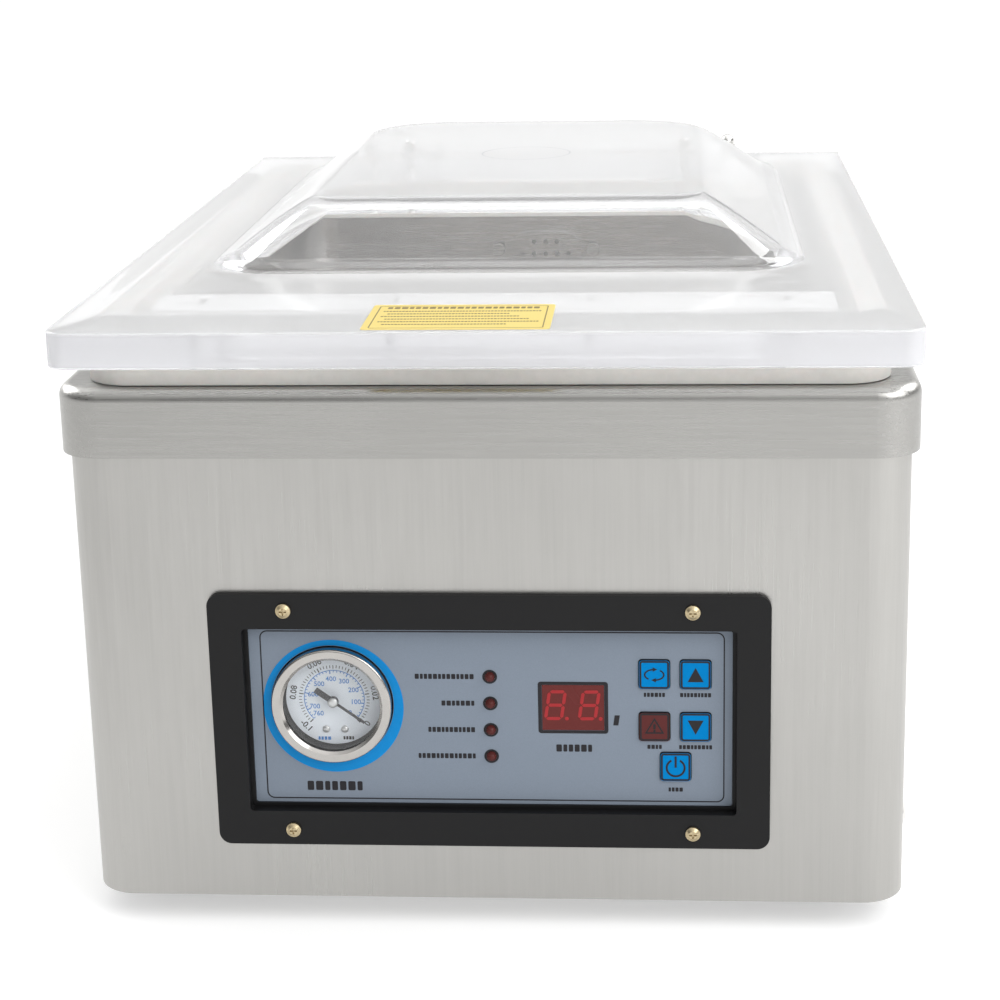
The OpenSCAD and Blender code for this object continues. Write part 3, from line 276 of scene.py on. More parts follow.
STEEL = (0.435, 0.428, 0.411)
ACRYLIC = (0.985, 0.988, 0.992)
ACRYLIC_IOR = 1.49
M = {
    "brushed_stainless": brushed("brushed_stainless", STEEL, "Z"),
    "band_stainless": brushed("band_stainless", (0.365, 0.36, 0.346), "X", roughness=0.27),
    "chamber_stainless": brushed(
        "chamber_stainless", (0.45, 0.442, 0.43), "X", roughness=0.2, depth=0.04, contrast=0.03
    ),
    "zinc_steel": plated("zinc_steel", (0.60, 0.60, 0.60), 0.32),
    "chrome_steel": plated("chrome_steel", (0.74, 0.73, 0.71), 0.13, marks=0.03),
    "gauge_steel": plated("gauge_steel", (0.45, 0.435, 0.415), 0.20),
    "spring_steel": plated("spring_steel", (0.22, 0.22, 0.23), 0.35),
    "aluminium": brushed("aluminium", (0.74, 0.75, 0.76), "X", roughness=0.38),
    "white_plastic": moulded(
        "white_plastic", (0.64, 0.64, 0.645), 0.4, grain=1500, depth=0.1, contrast=0.02
    ),
    "brass": plated("brass", (0.52, 0.43, 0.27), 0.34, marks=0.10),
    "clear_acrylic": clear("clear_acrylic", ACRYLIC, ACRYLIC_IOR, wave=0.35, clarity=0.95, dust=0.6),
    "hazed_acrylic": clear("hazed_acrylic", ACRYLIC, ACRYLIC_IOR, wave=0.1, clarity=0.70, dust=0.4),
    "acrylic_edge": sawn_acrylic("acrylic_edge", (0.66, 0.66, 0.685)),
    "gauge_glass": clear("gauge_glass", (0.98, 0.99, 0.99), 1.45),
    # White silicone coloured grey: painted shade, standing in for the shadow of the clear lid over the gasket,
    # which the lid does not cast
    "white_silicone": silicone("white_silicone", (0.46, 0.445, 0.42)),
    "black_rubber": moulded("black_rubber", (0.03, 0.03, 0.03), 0.65),
    "black_plastic": moulded("black_plastic", (0.007, 0.007, 0.0075), 0.42, shine=0.22),
    "panel_film": printed("panel_film", (0.205, 0.243, 0.297), 0.42),
    "print_black": printed("print_black", (0.022, 0.021, 0.024), 0.45),
    "print_blue": printed("print_blue", (0.0, 0.225, 0.57), 0.40),
    "key_blue": printed("key_blue", (0.0, 0.20, 0.52), 0.36, shine=0.04),
    "key_red": printed("key_red", (0.098, 0.020, 0.019), 0.34),
    "red_window": printed("red_window", (0.125, 0.022, 0.020), 0.24, speck=0.10),
    "digit_red": printed("digit_red", (0.36, 0.026, 0.030), 0.30),
    "led_red": printed("led_red", (0.085, 0.020, 0.018), 0.22),
    "circuit_board": enamel("circuit_board", (0.02, 0.16, 0.05), 0.3),
    "dial_white": printed("dial_white", (0.84, 0.88, 0.94), 0.5, speck=0.02),
    "dial_blue": printed("dial_blue", (0.05, 0.235, 0.62), 0.5),
    "pointer_black": enamel("pointer_black", (0.02, 0.02, 0.022), 0.4),
    "ptfe_tan": woven("ptfe_tan", (0.42, 0.27, 0.13), 0.6 * MM),
    "pump_paint": enamel("pump_paint", (0.07, 0.075, 0.08), 0.45),
    "motor_paint": enamel("motor_paint", (0.10, 0.14, 0.20), 0.4),
    "fan_plastic": moulded("fan_plastic", (0.70, 0.69, 0.66), 0.5),
    "oil_glass": clear("oil_glass", (0.85, 0.62, 0.20), 1.47, roughness=0.05),
    "hose_white": silicone("hose_white", (0.70, 0.70, 0.68)),
    "valve_mix": plated("valve_mix", (0.50, 0.38, 0.20), 0.4, marks=0.10),
    "transformer_core": enamel("transformer_core", (0.10, 0.07, 0.05), 0.5),
    "label_yellow": printed("label_yellow", (0.82, 0.65, 0.20), 0.45, speck=0.03),
    "label_ink": printed("label_ink", (0.22, 0.17, 0.07), 0.5),
}


def dress_cad_nodes():
    """Each CAD node takes the material of its record slot, apart from three with steels of their own."""
    slots = {s["node"]: s["material_slot"] for s in frame["record"]["subparts"]}
    own = {
        "gauge_bezel": "gauge_steel",
        "suction_cover": "chamber_stainless",
        "suction_screws": "band_stainless",
    }
    for name, obj in NODES.items():
        material = M[own.get(name, slots[name])]
        for place in obj.material_slots:
            place.material = material
        if not obj.material_slots:
            obj.data.materials.append(material)


def polish_chamber():
    """The chamber's inside is smoother steel than the band outside it."""
    pan = NODES["chamber_pan"]
    inner = len(pan.data.materials)
    pan.data.materials.append(M["chamber_stainless"])
    gasket_lo, gasket_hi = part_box("lid_gasket")
    edge = 11 * MM
    rim_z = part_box("chamber_pan")[1].z - 1 * MM
    level = 0.9
    for face in pan.data.polygons:
        at = face.center
        wide_in = gasket_lo.x + edge < at.x < gasket_hi.x - edge
        deep_in = gasket_lo.y + edge < at.y < gasket_hi.y - edge
        on_rim = at.z > rim_z and face.normal.z > level
        if wide_in and deep_in and not on_rim:
            face.material_index = inner


def blacken_key_sides():
    """The outline print of a key runs down its four sides."""
    sideways = 0.5
    for key in KEYS:
        mesh = NODES["key_" + key].data
        black = len(mesh.materials)
        mesh.materials.append(M["print_black"])
        for face in mesh.polygons:
            if abs(face.normal.y) < sideways:
                face.material_index = black


def soften(node, width, segments=2, finish=-1):
    """A small round on a CAD node's sharp edges, by a modifier. finish is the round's material slot."""
    sharp = math.radians(40)
    bevel = NODES[node].modifiers.new("edge", "BEVEL")
    bevel.width = width
    bevel.segments = segments
    bevel.limit_method = "ANGLE"
    bevel.angle_limit = sharp
    bevel.material = finish


# ------------------------------------------------------------------ mesh helpers


def add_mesh(name, verts, faces, material, body, smooth=False):
    """A piece made from points and faces, with its material, body and slot."""
    mesh = bpy.data.meshes.new(name)
    mesh.from_pydata([tuple(v) for v in verts], [], faces)
    mesh.materials.append(M[material])
    mesh.validate()
    tidy = bmesh.new()
    tidy.from_mesh(mesh)
    bmesh.ops.recalc_face_normals(tidy, faces=tidy.faces)
    tidy.to_mesh(mesh)
    tidy.free()
    for face in mesh.polygons:
        face.use_smooth = smooth
    obj = bpy.data.objects.new(name, mesh)
    bpy.context.scene.collection.objects.link(obj)
    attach(obj, body)
    return obj


class Print:
    """Flat shapes gathered into one thin piece. to3d turns (u, v, lift) into a place."""

    def __init__(self, to3d, thick):
        self.to3d = to3d
        self.thick = thick
        self.verts = []
        self.faces = []

    def prism(self, outline):
        """A flat shape with this outline."""
        n = len(outline)
        base = len(self.verts)
        for level in (0, self.thick):
            self.verts += [self.to3d(u, v, level) for u, v in outline]
        self.faces.append(tuple(base + n + i for i in range(n)))
        self.faces.append(tuple(base + n - 1 - i for i in range(n)))
        for i in range(n):
            j = (i + 1) % n
            self.faces.append((base + i, base + j, base + n + j, base + n + i))

    def ring(self, outer, inner, closed=True):
        """The band between two outlines of the same number of points."""
        n = len(outer)
        base = len(self.verts)
        for level in (0, self.thick):
            for outline in (outer, inner):
                self.verts += [self.to3d(u, v, level) for u, v in outline]
        last = n if closed else n - 1
        for i in range(last):
            j = (i + 1) % n
            ob, ib, ot, it = (base + k * n for k in range(4))
            self.faces.append((ot + i, ot + j, it + j, it + i))
            self.faces.append((ob + j, ob + i, ib + i, ib + j))
            self.faces.append((ob + i, ob + j, ot + j, ot + i))
            self.faces.append((ib + j, ib + i, it + i, it + j))
        if not closed:
            for i in (0, n - 1):
                self.faces.append((ob + i, ot + i, it + i, ib + i))

    def words(self, u0, u1, v, height, seed):
        """A row of small blocks that stands for a word without being lettering."""
        pitch, narrow, extra, gap, corner = 0.82, 0.52, 0.22, 0.2, 0.12  # shares of the row's height
        count = max(3, round((u1 - u0) / (height * pitch)))
        widths = [narrow + extra * ((seed * 7 + step * 5) % 4) / 3 for step in range(count)]
        scale = (u1 - u0) / (sum(widths) + gap * (count - 1))
        u = u0
        for width in widths:
            wide = width * scale
            self.prism(rounded(u + wide / 2, v, wide, height, height * corner, steps=2))
            u += wide + gap * scale

    def piece(self, name, material, body):
        """Makes everything gathered so far into one piece."""
        add_mesh(name, self.verts, self.faces, material, body)


def rounded(cu, cv, width, height, radius, steps=6):
    """Outline of a rectangle with round corners, counter-clockwise."""
    points = []
    for k, (su, sv) in enumerate(((1, 1), (-1, 1), (-1, -1), (1, -1))):
        pu = cu + su * (width / 2 - radius)
        pv = cv + sv * (height / 2 - radius)
        for i in range(steps + 1):
            a = math.radians(90 * (k + i / steps))
            points.append((pu + radius * math.cos(a), pv + radius * math.sin(a)))
    return points


def arc(cu, cv, ru, rv, start, end, steps):
    """Points along an arc of an ellipse, in degrees."""
    angles = [math.radians(start + (end - start) * i / steps) for i in range(steps + 1)]
    return [(cu + ru * math.cos(a), cv + rv * math.sin(a)) for a in angles]


def circle(cu, cv, radius, steps=72):
    """An outline of so many points, the first of them not repeated."""
    return arc(cu, cv, radius, radius, 0, 360 * (steps - 1) / steps, steps - 1)


def turned(points, angle, cu, cv):
    """The points turned by an angle about the origin, then moved to (cu, cv)."""
    c, s = math.cos(angle), math.sin(angle)
    return [(cu + u * c - v * s, cv + u * s + v * c) for u, v in points]


def quarter(steps):
    """The angles of a quarter turn in so many steps, with both ends."""
    return [math.radians(90 * i / steps) for i in range(steps + 1)]


def facing_front(y):
    """Lays (u, v, lift) at x, z and so far in front of y."""
    return lambda u, v, lift: (u, y - lift, v)


def tube(name, path, radius, sides, material, body):
    """A closed tube swept along a path of points."""
    verts, faces = [], []
    side = None
    for i, point in enumerate(path):
        ahead = path[min(i + 1, len(path) - 1)] - path[max(i - 1, 0)]
        ahead.normalize()
        if side is None:
            side = ahead.orthogonal().normalized()
        side = (side - ahead * side.dot(ahead)).normalized()
        up = ahead.cross(side)
        for k in range(sides):
            a = 2 * math.pi * k / sides
            verts.append(point + side * radius * math.cos(a) + up * radius * math.sin(a))
    for i in range(len(path) - 1):
        for k in range(sides):
            m = (k + 1) % sides
            faces.append((i * sides + k, i * sides + m, (i + 1) * sides + m, (i + 1) * sides + k))
    faces.append(tuple(range(sides)))
    faces.append(tuple((len(path) - 1) * sides + k for k in reversed(range(sides))))
    return add_mesh(name, verts, faces, material, body, smooth=True)


# ------------------------------------------------------------------ lid

LID_LO, LID_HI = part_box("lid")
LID_LO.z += 0.15 * MM  # a film of air over the gasket and the bar
PLATE_T = 14.35 * MM
PLATE_TOP = LID_LO.z + PLATE_T
PLATE_DEPTH = 460 * MM
PLATE_FRONT_R = 9 * MM
PLATE_REAR_R = 3 * MM
EDGE_ROUND = 0.8 * MM
DOME_H = LID_HI.z - PLATE_TOP
DOME_W = 250 * MM
DOME_FRONT = LID_LO.y + 114 * MM
DOME_REAR = LID_LO.y + 436 * MM
DOME_SIDE_IN = 42 * MM
DOME_FRONT_IN = 38 * MM
DOME_REAR_IN = 40 * MM
DOME_FRONT_R0 = 30 * MM
DOME_REAR_R0 = 50 * MM
DOME_FRONT_R1 = 12 * MM
DOME_REAR_R1 = 36 * MM
# For each wall: the share of its lean that is a plain slope, and the power of the rest's curve
SIDE_WALL = (0.85, 3)
FRONT_WALL = (0.5, 6)
REAR_WALL = (0.85, 3)
DOME_WALL = 3 * MM
FOOT_R = 3 * MM
MOUTH_R = 14 * MM
DOME_LEVELS = 22
FOOT_LEVELS = 6
EDGE_LEVELS = 3
MOUTH_LEVELS = 8
CORNER_STEPS = 14
SIDE_STEPS = 14
CAP_SHARES = (0.06, 0.3, 0.6, 0.85)


def lid_ring(x0, x1, y0, y1, front_r, rear_r, z):
    """One closed ring of points round a rectangle with round corners, always the same number."""
    corners = (
        (x1 - rear_r, y1 - rear_r, rear_r, 0),
        (x0 + rear_r, y1 - rear_r, rear_r, 90),
        (x0 + front_r, y0 + front_r, front_r, 180),
        (x1 - front_r, y0 + front_r, front_r, 270),
    )
    arcs = []
    for cx, cy, r, start in corners:
        run = [math.radians(start + 90 * i / CORNER_STEPS) for i in range(CORNER_STEPS + 1)]
        arcs.append([Vector((cx + r * math.cos(a), cy + r * math.sin(a), z)) for a in run])
    ring = []
    for k, points in enumerate(arcs):
        ring += points
        nxt = arcs[(k + 1) % 4][0]
        for i in range(1, SIDE_STEPS):
            ring.append(points[-1].lerp(nxt, i / SIDE_STEPS))
    return ring


def leaned(t, wall):
    """How far a wall has leaned in at the share t of its height: a slope and a superellipse mixed."""
    straight, power = wall
    return straight * t + (1 - straight) * (1 - (1 - t**power) ** (1 / power))


def dome_ring(t, grow, z):
    """The dome's outline where its height is t of the whole; grow moves it outwards."""
    lean = leaned(t, SIDE_WALL)
    front_r = DOME_FRONT_R0 + (DOME_FRONT_R1 - DOME_FRONT_R0) * lean + grow
    rear_r = DOME_REAR_R0 + (DOME_REAR_R1 - DOME_REAR_R0) * lean + grow
    half = DOME_W / 2 - lean * DOME_SIDE_IN + grow
    front = DOME_FRONT + leaned(t, FRONT_WALL) * DOME_FRONT_IN - grow
    rear = DOME_REAR - leaned(t, REAR_WALL) * DOME_REAR_IN + grow
    return lid_ring(-half, half, front, rear, front_r, rear_r, z)


def plate_ring(inset, z):
    """The plate's outline, drawn in by inset."""
    front_r = max(PLATE_FRONT_R - inset, 1 * MM)
    rear_r = max(PLATE_REAR_R - inset, 0.6 * MM)
    rear = LID_LO.y + PLATE_DEPTH - inset
    return lid_ring(LID_LO.x + inset, LID_HI.x - inset, LID_LO.y + inset, rear, front_r, rear_r, z)


def between(a, b, shares):
    """Rings between two rings, at these shares of the way."""
    return [[p.lerp(q, share) for p, q in zip(a, b)] for share in shares]


def cap_rings(rim, shares):
    """Rings on a flat cap, at these shares of the way from its middle to its rim, and the middle."""
    centre = sum(rim, Vector()) / len(rim)
    return [[centre.lerp(p, share) for p in rim] for share in shares], centre


def offset_rings(rings, distance):
    """The rings moved along their surface's normal, inwards for a negative distance."""
    moved = []
    for r, ring in enumerate(rings):
        above = rings[max(r - 1, 0)]
        below = rings[min(r + 1, len(rings) - 1)]
        points = []
        for k, p in enumerate(ring):
            along = ring[(k + 1) % len(ring)] - ring[k - 1]
            down = below[k] - above[k]
            normal = down.cross(along).normalized()
            points.append(p + normal * distance)
        moved.append(points)
    return moved


def grown(ring, out, z):
    """A ring moved outwards in its own plane, at another height."""
    points = []
    for k, p in enumerate(ring):
        along = ring[(k + 1) % len(ring)] - ring[k - 1]
        away = Vector((along.y, -along.x, 0.0)).normalized()
        points.append(Vector((p.x + away.x * out, p.y + away.y * out, z)))
    return points


def edge_rings(level, way, angles):
    """The small round on the plate's outer edge, which starts at a level and goes up or down."""
    rings = []
    for a in angles:
        z = level + way * EDGE_ROUND * (1 - math.cos(a))
        rings.append(plate_ring(EDGE_ROUND * (1 - math.sin(a)), z))
    return rings


def build_lid():
    """The clear lid as one closed skin: dome outside, plate, dome inside."""
    cap, centre = cap_rings(dome_ring(1.0, 0.0, PLATE_TOP + DOME_H), CAP_SHARES)
    heights = [math.sin(a) for a in reversed(quarter(DOME_LEVELS))]
    wall = [dome_ring(t, 0.0, PLATE_TOP + DOME_H * t) for t in heights]
    wall = [ring for ring in wall if ring[0].z > PLATE_TOP + FOOT_R]
    inner = offset_rings(cap[-1:] + wall, -DOME_WALL)[1:]
    inner.reverse()
    for a in quarter(FOOT_LEVELS)[1:]:
        z = PLATE_TOP + FOOT_R * (1 - math.sin(a))
        wall.append(dome_ring(0.0, FOOT_R * (1 - math.cos(a)), z))
    rings = cap + wall
    first_plate = len(rings) - 1
    lip = plate_ring(EDGE_ROUND, PLATE_TOP)
    rings += between(wall[-1], lip, (0.33, 0.66)) + [lip]
    rings += edge_rings(PLATE_TOP, -1, quarter(EDGE_LEVELS)[1:])
    first_edge = len(rings) - 1
    straight = PLATE_T - 2 * EDGE_ROUND
    for share in (0.1, 0.5, 0.9):
        rings.append(plate_ring(0.0, PLATE_TOP - EDGE_ROUND - straight * share))
    last_edge = len(rings)
    rings += edge_rings(LID_LO.z, 1, reversed(quarter(EDGE_LEVELS)))
    mouth = []
    for a in quarter(MOUTH_LEVELS)[:-1]:
        z = LID_LO.z + MOUTH_R * (1 - math.cos(a))
        mouth.append(grown(inner[0], MOUTH_R * (1 - math.sin(a)), z))
    rings += between(rings[-1], mouth[0], (0.4, 0.8)) + mouth + inner
    inner_cap, inner_centre = cap_rings(rings[-1], reversed(CAP_SHARES))
    rings += inner_cap
    finishes = ((first_plate, first_edge, "hazed_acrylic"), (first_edge, last_edge, "acrylic_edge"))
    skin_lid(rings, centre, inner_centre, finishes)


def skin_lid(rings, centre, inner_centre, finishes):
    """Joins the rings into the lid's mesh. finishes gives runs of rings a material of their own."""
    n = len(rings[0])
    verts = [p for ring in rings for p in ring]
    faces = []
    for r in range(len(rings) - 1):
        for k in range(n):
            m = (k + 1) % n
            faces.append((r * n + k, r * n + m, (r + 1) * n + m, (r + 1) * n + k))
    last_ring = len(verts) - n
    verts += [centre, inner_centre]
    for k in range(n):
        m = (k + 1) % n
        faces.append((len(verts) - 2, m, k))
        faces.append((len(verts) - 1, last_ring + k, last_ring + m))
    obj = add_mesh("clear_lid", verts, faces, "clear_acrylic", "lid_assembly", True)
    for number, (first, last, finish) in enumerate(finishes):
        obj.data.materials.append(M[finish])
        for face in obj.data.polygons:
            if all(first * n <= v < (last + 1) * n for v in face.vertices):
                face.material_index = number + 1
    obj.visible_shadow = False
    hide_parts("lid")


def build_dome_mark():
    """The faint round witness mark left by forming, on the flat of the dome."""
    y = (DOME_FRONT + DOME_REAR) / 2
    thick = 0.02 * MM
    mark = Print(lambda u, v, lift: (u, y + v, PLATE_TOP + DOME_H - thick + lift), thick)
    mark.ring(circle(0, 0, 21.8 * MM), circle(0, 0, 21.0 * MM))
    mark.piece("dome_witness_mark", "acrylic_edge", "lid_assembly")


# ------------------------------------------------------------------ instruction label


def build_label():
    """Yellow label at the lid's front edge, with blocks in place of writing."""
    width, depth = 71 * MM, 44 * MM
    cx, cy = -9.3 * MM, LID_LO.y + 25.5 * MM
    sheet, ink_lift, air = 0.12 * MM, 0.02 * MM, 0.02 * MM
    border, line = 2.6 * MM, 0.45 * MM
    title_h, writing_h, row_pitch = 3.2 * MM, 1.5 * MM, 4.6 * MM
    title_in, first_row = 6 * MM, 12 * MM

    def on_lid(u, v, lift):
        return (cx + u, cy + v, PLATE_TOP + air + lift)

    base = Print(on_lid, sheet)
    base.prism(rounded(0, 0, width, depth, 2 * MM))
    base.piece("instruction_label", "label_yellow", "lid_assembly")
    ink = Print(lambda u, v, lift: on_lid(u, v, lift + sheet), ink_lift)
    w, d = width - 2 * border, depth - 2 * border
    ink.ring(rounded(0, 0, w, d, 1 * MM), rounded(0, 0, w - 2 * line, d - 2 * line, 0.7 * MM))
    ink.words(-width / 2 + title_in, width / 2 - title_in, depth / 2 - title_in, title_h, seed=3)
    for row in range(6):
        start = -width / 2 + (5 + 2 * (row % 2)) * MM
        end = width / 2 - (5 + 4 * ((row * 3) % 4)) * MM
        ink.words(start, end, depth / 2 - first_row - row_pitch * row, writing_h, seed=row)
    ink.piece("instruction_label_print", "label_ink", "lid_assembly")


# ------------------------------------------------------------------ control panel

FILM_LO, FILM_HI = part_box("membrane_panel")
FILM_Y = FILM_LO.y
PANEL_Z = (FILM_LO.z + FILM_HI.z) / 2
INK = 0.06 * MM
KEYS = ("mode", "up", "stop", "down", "start")


def middle(node):
    """The middle of a CAD node's box."""
    lo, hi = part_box(node)
    return (lo + hi) / 2


def build_panel_print():
    """Everything printed on the film: border line, gauge ring, lamp rings, frames and word blocks."""
    black = Print(facing_front(FILM_Y), INK)
    w, h, line = 181.4 * MM, 71.0 * MM, 0.5 * MM
    cx, cz = 0.7 * MM, PANEL_Z + 0.3 * MM
    black.ring(rounded(cx, cz, w, h, 3 * MM), rounded(cx, cz, w - 2 * line, h - 2 * line, 2.5 * MM))

    lamp_x = middle("indicator_leds").x
    lamp_words = (29.4, 19.2, 24.7, 28.9)
    words_end, words_h = -6.3 * MM, 2.1 * MM
    ring_r, lamp_r = 2.9 * MM, 2.12 * MM
    for row, (z, length) in enumerate(zip(lamp_heights(), lamp_words)):
        black.ring(circle(lamp_x, z, ring_r, steps=40), circle(lamp_x, z, lamp_r, steps=40))
        black.words(-length * MM, words_end, z, words_h, seed=row + 1)

    window = middle("display_window")
    black.ring(
        rounded(window.x, window.z, 27.4 * MM, 21.6 * MM, 1.2 * MM),
        rounded(window.x, window.z, 24.5 * MM, 19.1 * MM, 0.4 * MM),
    )
    below_window, below_h = 17 * MM, 3 * MM
    left, right = window.x - 6.8 * MM, window.x + 7.2 * MM
    black.words(left, right, window.z - below_window, below_h, seed=5)
    unit_x, unit_z = window.x + 16.9 * MM, window.z - 5.2 * MM
    foot, head, high = (-1.3, 0.7), (1.3, -0.7), 2.1
    unit = [(u, -high) for u in foot] + [(u, high) for u in head]
    black.prism([(unit_x + u * MM, unit_z + v * MM) for u, v in unit])

    gauge = middle("gauge_bezel")
    below_gauge, gauge_h = PANEL_Z - 29.6 * MM, 3.9 * MM
    left, right = gauge.x - 11.4 * MM, gauge.x + 10.6 * MM
    black.words(left, right, below_gauge, gauge_h, seed=2)

    halves = {"mode": 4.1, "up": 6.0, "stop": 2.8, "down": 6.4, "start": 2.8}
    key_words_h = 1.7 * MM
    for number, (key, half) in enumerate(halves.items()):
        at = middle("key_" + key)
        drop = 9.8 if key == "start" else 8.6
        black.words(at.x - half * MM, at.x + half * MM, at.z - drop * MM, key_words_h, seed=number)
    black.piece("panel_print_black", "print_black", "chassis")

    blue = Print(facing_front(FILM_Y), INK)
    disc_x, disc_z = gauge.x + 0.3 * MM, gauge.z - 1.2 * MM
    disc_r, hole_r = 27.8 * MM, 24.3 * MM
    blue.ring(circle(disc_x, disc_z, disc_r, steps=120), circle(gauge.x, gauge.z, hole_r, steps=120))
    blue.piece("gauge_ring_print", "print_blue", "chassis")


def lamp_heights():
    """The heights of the four lamps' middles."""
    lo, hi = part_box("indicator_leds")
    rim = 2.4 * MM
    top, bottom = hi.z - rim, lo.z + rim
    return [top + (bottom - top) * i / 3 for i in range(4)]


# The bars of a seven-segment digit, each from one corner to another
SEGMENTS = (
    ((-1, 2), (1, 2)),
    ((1, 2), (1, 0)),
    ((1, 0), (1, -2)),
    ((-1, -2), (1, -2)),
    ((-1, 0), (-1, -2)),
    ((-1, 2), (-1, 0)),
    ((-1, 0), (1, 0)),
)


def segment_outline(a, b, half_w, half_h, thick, slant):
    """One pointed segment of a seven-segment digit, from corner a to corner b."""
    p = Vector((a[0] * half_w, a[1] * half_h / 2))
    q = Vector((b[0] * half_w, b[1] * half_h / 2))
    along = (q - p).normalized()
    across = Vector((-along.y, along.x)) * thick / 2
    gap = along * thick * 0.18
    p += gap
    q -= gap
    tip = along * thick / 2
    outline = [p, p + tip - across, q - tip - across, q, q - tip + across, p + tip + across]
    return [(v.x + v.y * slant, v.y) for v in outline]


def build_digits():
    """The two digits of the display with their points, all segments shown."""
    window = middle("display_window")
    digits = Print(facing_front(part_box("display_window")[0].y), 0.04 * MM)
    half_w, half_h, thick, slant = 3.1 * MM, 5.6 * MM, 1.3 * MM, 0.15
    point_x, point_r = 4.4 * MM, 0.75 * MM
    cz = window.z + 1.0 * MM
    for cx in (window.x - 6.9 * MM, window.x + 6.3 * MM):
        for a, b in SEGMENTS:
            shape = segment_outline(a, b, half_w, half_h, thick, slant)
            digits.prism([(cx + u, cz + v) for u, v in shape])
        digits.prism(circle(cx + point_x, cz - half_h, point_r, steps=20))
    digits.piece("display_digits", "digit_red", "chassis")


def icon_mode(ink, cx, cz):
    """Two arrows that chase each other round an oval."""
    wide, high, line = 3.7 * MM, 2.2 * MM, 0.3 * MM
    sweep = 135
    tip = [(1.2 * MM, 0), (-0.6 * MM, 0.9 * MM), (-0.6 * MM, -0.9 * MM)]
    for start, way in ((98, 1), (278, -1)):
        outer = arc(cx, cz, wide + line, high + line, start, start + sweep, steps=16)
        inner = arc(cx, cz, wide - line, high - line, start, start + sweep, steps=16)
        ink.ring(outer, inner, closed=False)
        ink.prism([(cx + way * u, cz + way * (high + v)) for u, v in tip])


def icon_triangle(ink, cx, cz, way):
    """A filled triangle that points up or down."""
    half, base, tip = 3.1 * MM, way * 2.9 * MM, way * 3.0 * MM
    ink.prism([(cx - half, cz - base), (cx + half, cz - base), (cx, cz + tip)])


def icon_stop(ink, cx, cz):
    """An open triangle round a bar and a dot."""
    mid_z = cz - 0.5 * MM
    corners = [math.radians(90 + 120 * i) for i in range(3)]
    outlines = []
    for r in (4.4 * MM, 3.3 * MM):
        outlines.append([(cx + r * math.cos(a), mid_z + r * math.sin(a)) for a in corners])
    ink.ring(*outlines)
    ink.prism(rounded(cx, cz + 0.2 * MM, 0.9 * MM, 2.2 * MM, 0.3 * MM, steps=2))
    ink.prism(circle(cx, cz - 1.6 * MM, 0.5 * MM, steps=16))


def icon_start(ink, cx, cz):
    """A ring open at the top, with a bar in the gap."""
    ring_z, start, end = cz - 0.3 * MM, 118, 422
    arcs = [arc(cx, ring_z, r, r, start, end, steps=40) for r in (3.9 * MM, 3.1 * MM)]
    ink.ring(*arcs, closed=False)
    ink.prism(rounded(cx, cz + 2.2 * MM, 0.85 * MM, 4.8 * MM, 0.2 * MM, steps=2))


def build_key_prints():
    """A black outline and a symbol on each key, riding on its own button."""
    symbols = {
        "mode": icon_mode,
        "up": lambda ink, x, z: icon_triangle(ink, x, z, 1),
        "stop": icon_stop,
        "down": lambda ink, x, z: icon_triangle(ink, x, z, -1),
        "start": icon_start,
    }
    for key in KEYS:
        lo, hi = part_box("key_" + key)
        cx, cz = (lo.x + hi.x) / 2, (lo.z + hi.z) / 2
        outer = hi.x - lo.x - 0.3 * MM
        inner = hi.x - lo.x - 1.8 * MM
        ink = Print(facing_front(lo.y), INK)
        ink.ring(rounded(cx, cz, outer, outer, 1.2 * MM), rounded(cx, cz, inner, inner, 0.5 * MM))
        symbols[key](ink, cx, cz)
        ink.piece(key + "_key_print", "print_black", key + "_button")


# ------------------------------------------------------------------ gauge

DIAL_START = -45.0
DIAL_SPAN = 270.0
OUTER_TICKS = 50
INNER_TICKS = 38
INNER_STEP = 7.1
INNER_PER_UNIT = 0.355
DIAL_INK = 0.03 * MM


def add_number(text, size, place, angle, material, name):
    """A number on the dial, turned by angle about the line of sight."""
    boldness = 0.014
    curve = bpy.data.curves.new(name, "FONT")
    curve.body = text
    curve.size = size
    curve.align_x = "CENTER"
    curve.align_y = "CENTER"
    curve.resolution_u = 3
    curve.extrude = DIAL_INK / 2
    curve.offset = size * boldness
    holder = bpy.data.objects.new(name + "_curve", curve)
    bpy.context.scene.collection.objects.link(holder)
    bpy.context.view_layer.update()
    drawn = holder.evaluated_get(bpy.context.evaluated_depsgraph_get())
    mesh = bpy.data.meshes.new_from_object(drawn)
    bpy.data.objects.remove(holder)
    bpy.data.curves.remove(curve)
    turn = Matrix.Rotation(math.radians(90), 4, "X") @ Matrix.Rotation(angle, 4, "Z")
    mesh.transform(Matrix.Translation(place) @ turn)
    mesh.materials.clear()
    mesh.materials.append(M[material])
    obj = bpy.data.objects.new(name, mesh)
    bpy.context.scene.collection.objects.link(obj)
    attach(obj, "chassis")


def tick(ink, centre, angle, inner, outer, width):
    """One line of a scale, between two radii, at an angle in degrees."""
    shape = [(inner, -width / 2), (outer, -width / 2), (outer, width / 2), (inner, width / 2)]
    ink.prism(turned(shape, math.radians(angle), centre.x, centre.z))


def on_dial(centre, radius, angle, y):
    """A place on the dial by radius and angle, at depth y."""
    return Vector((centre.x + radius * math.cos(angle), y, centre.z + radius * math.sin(angle)))


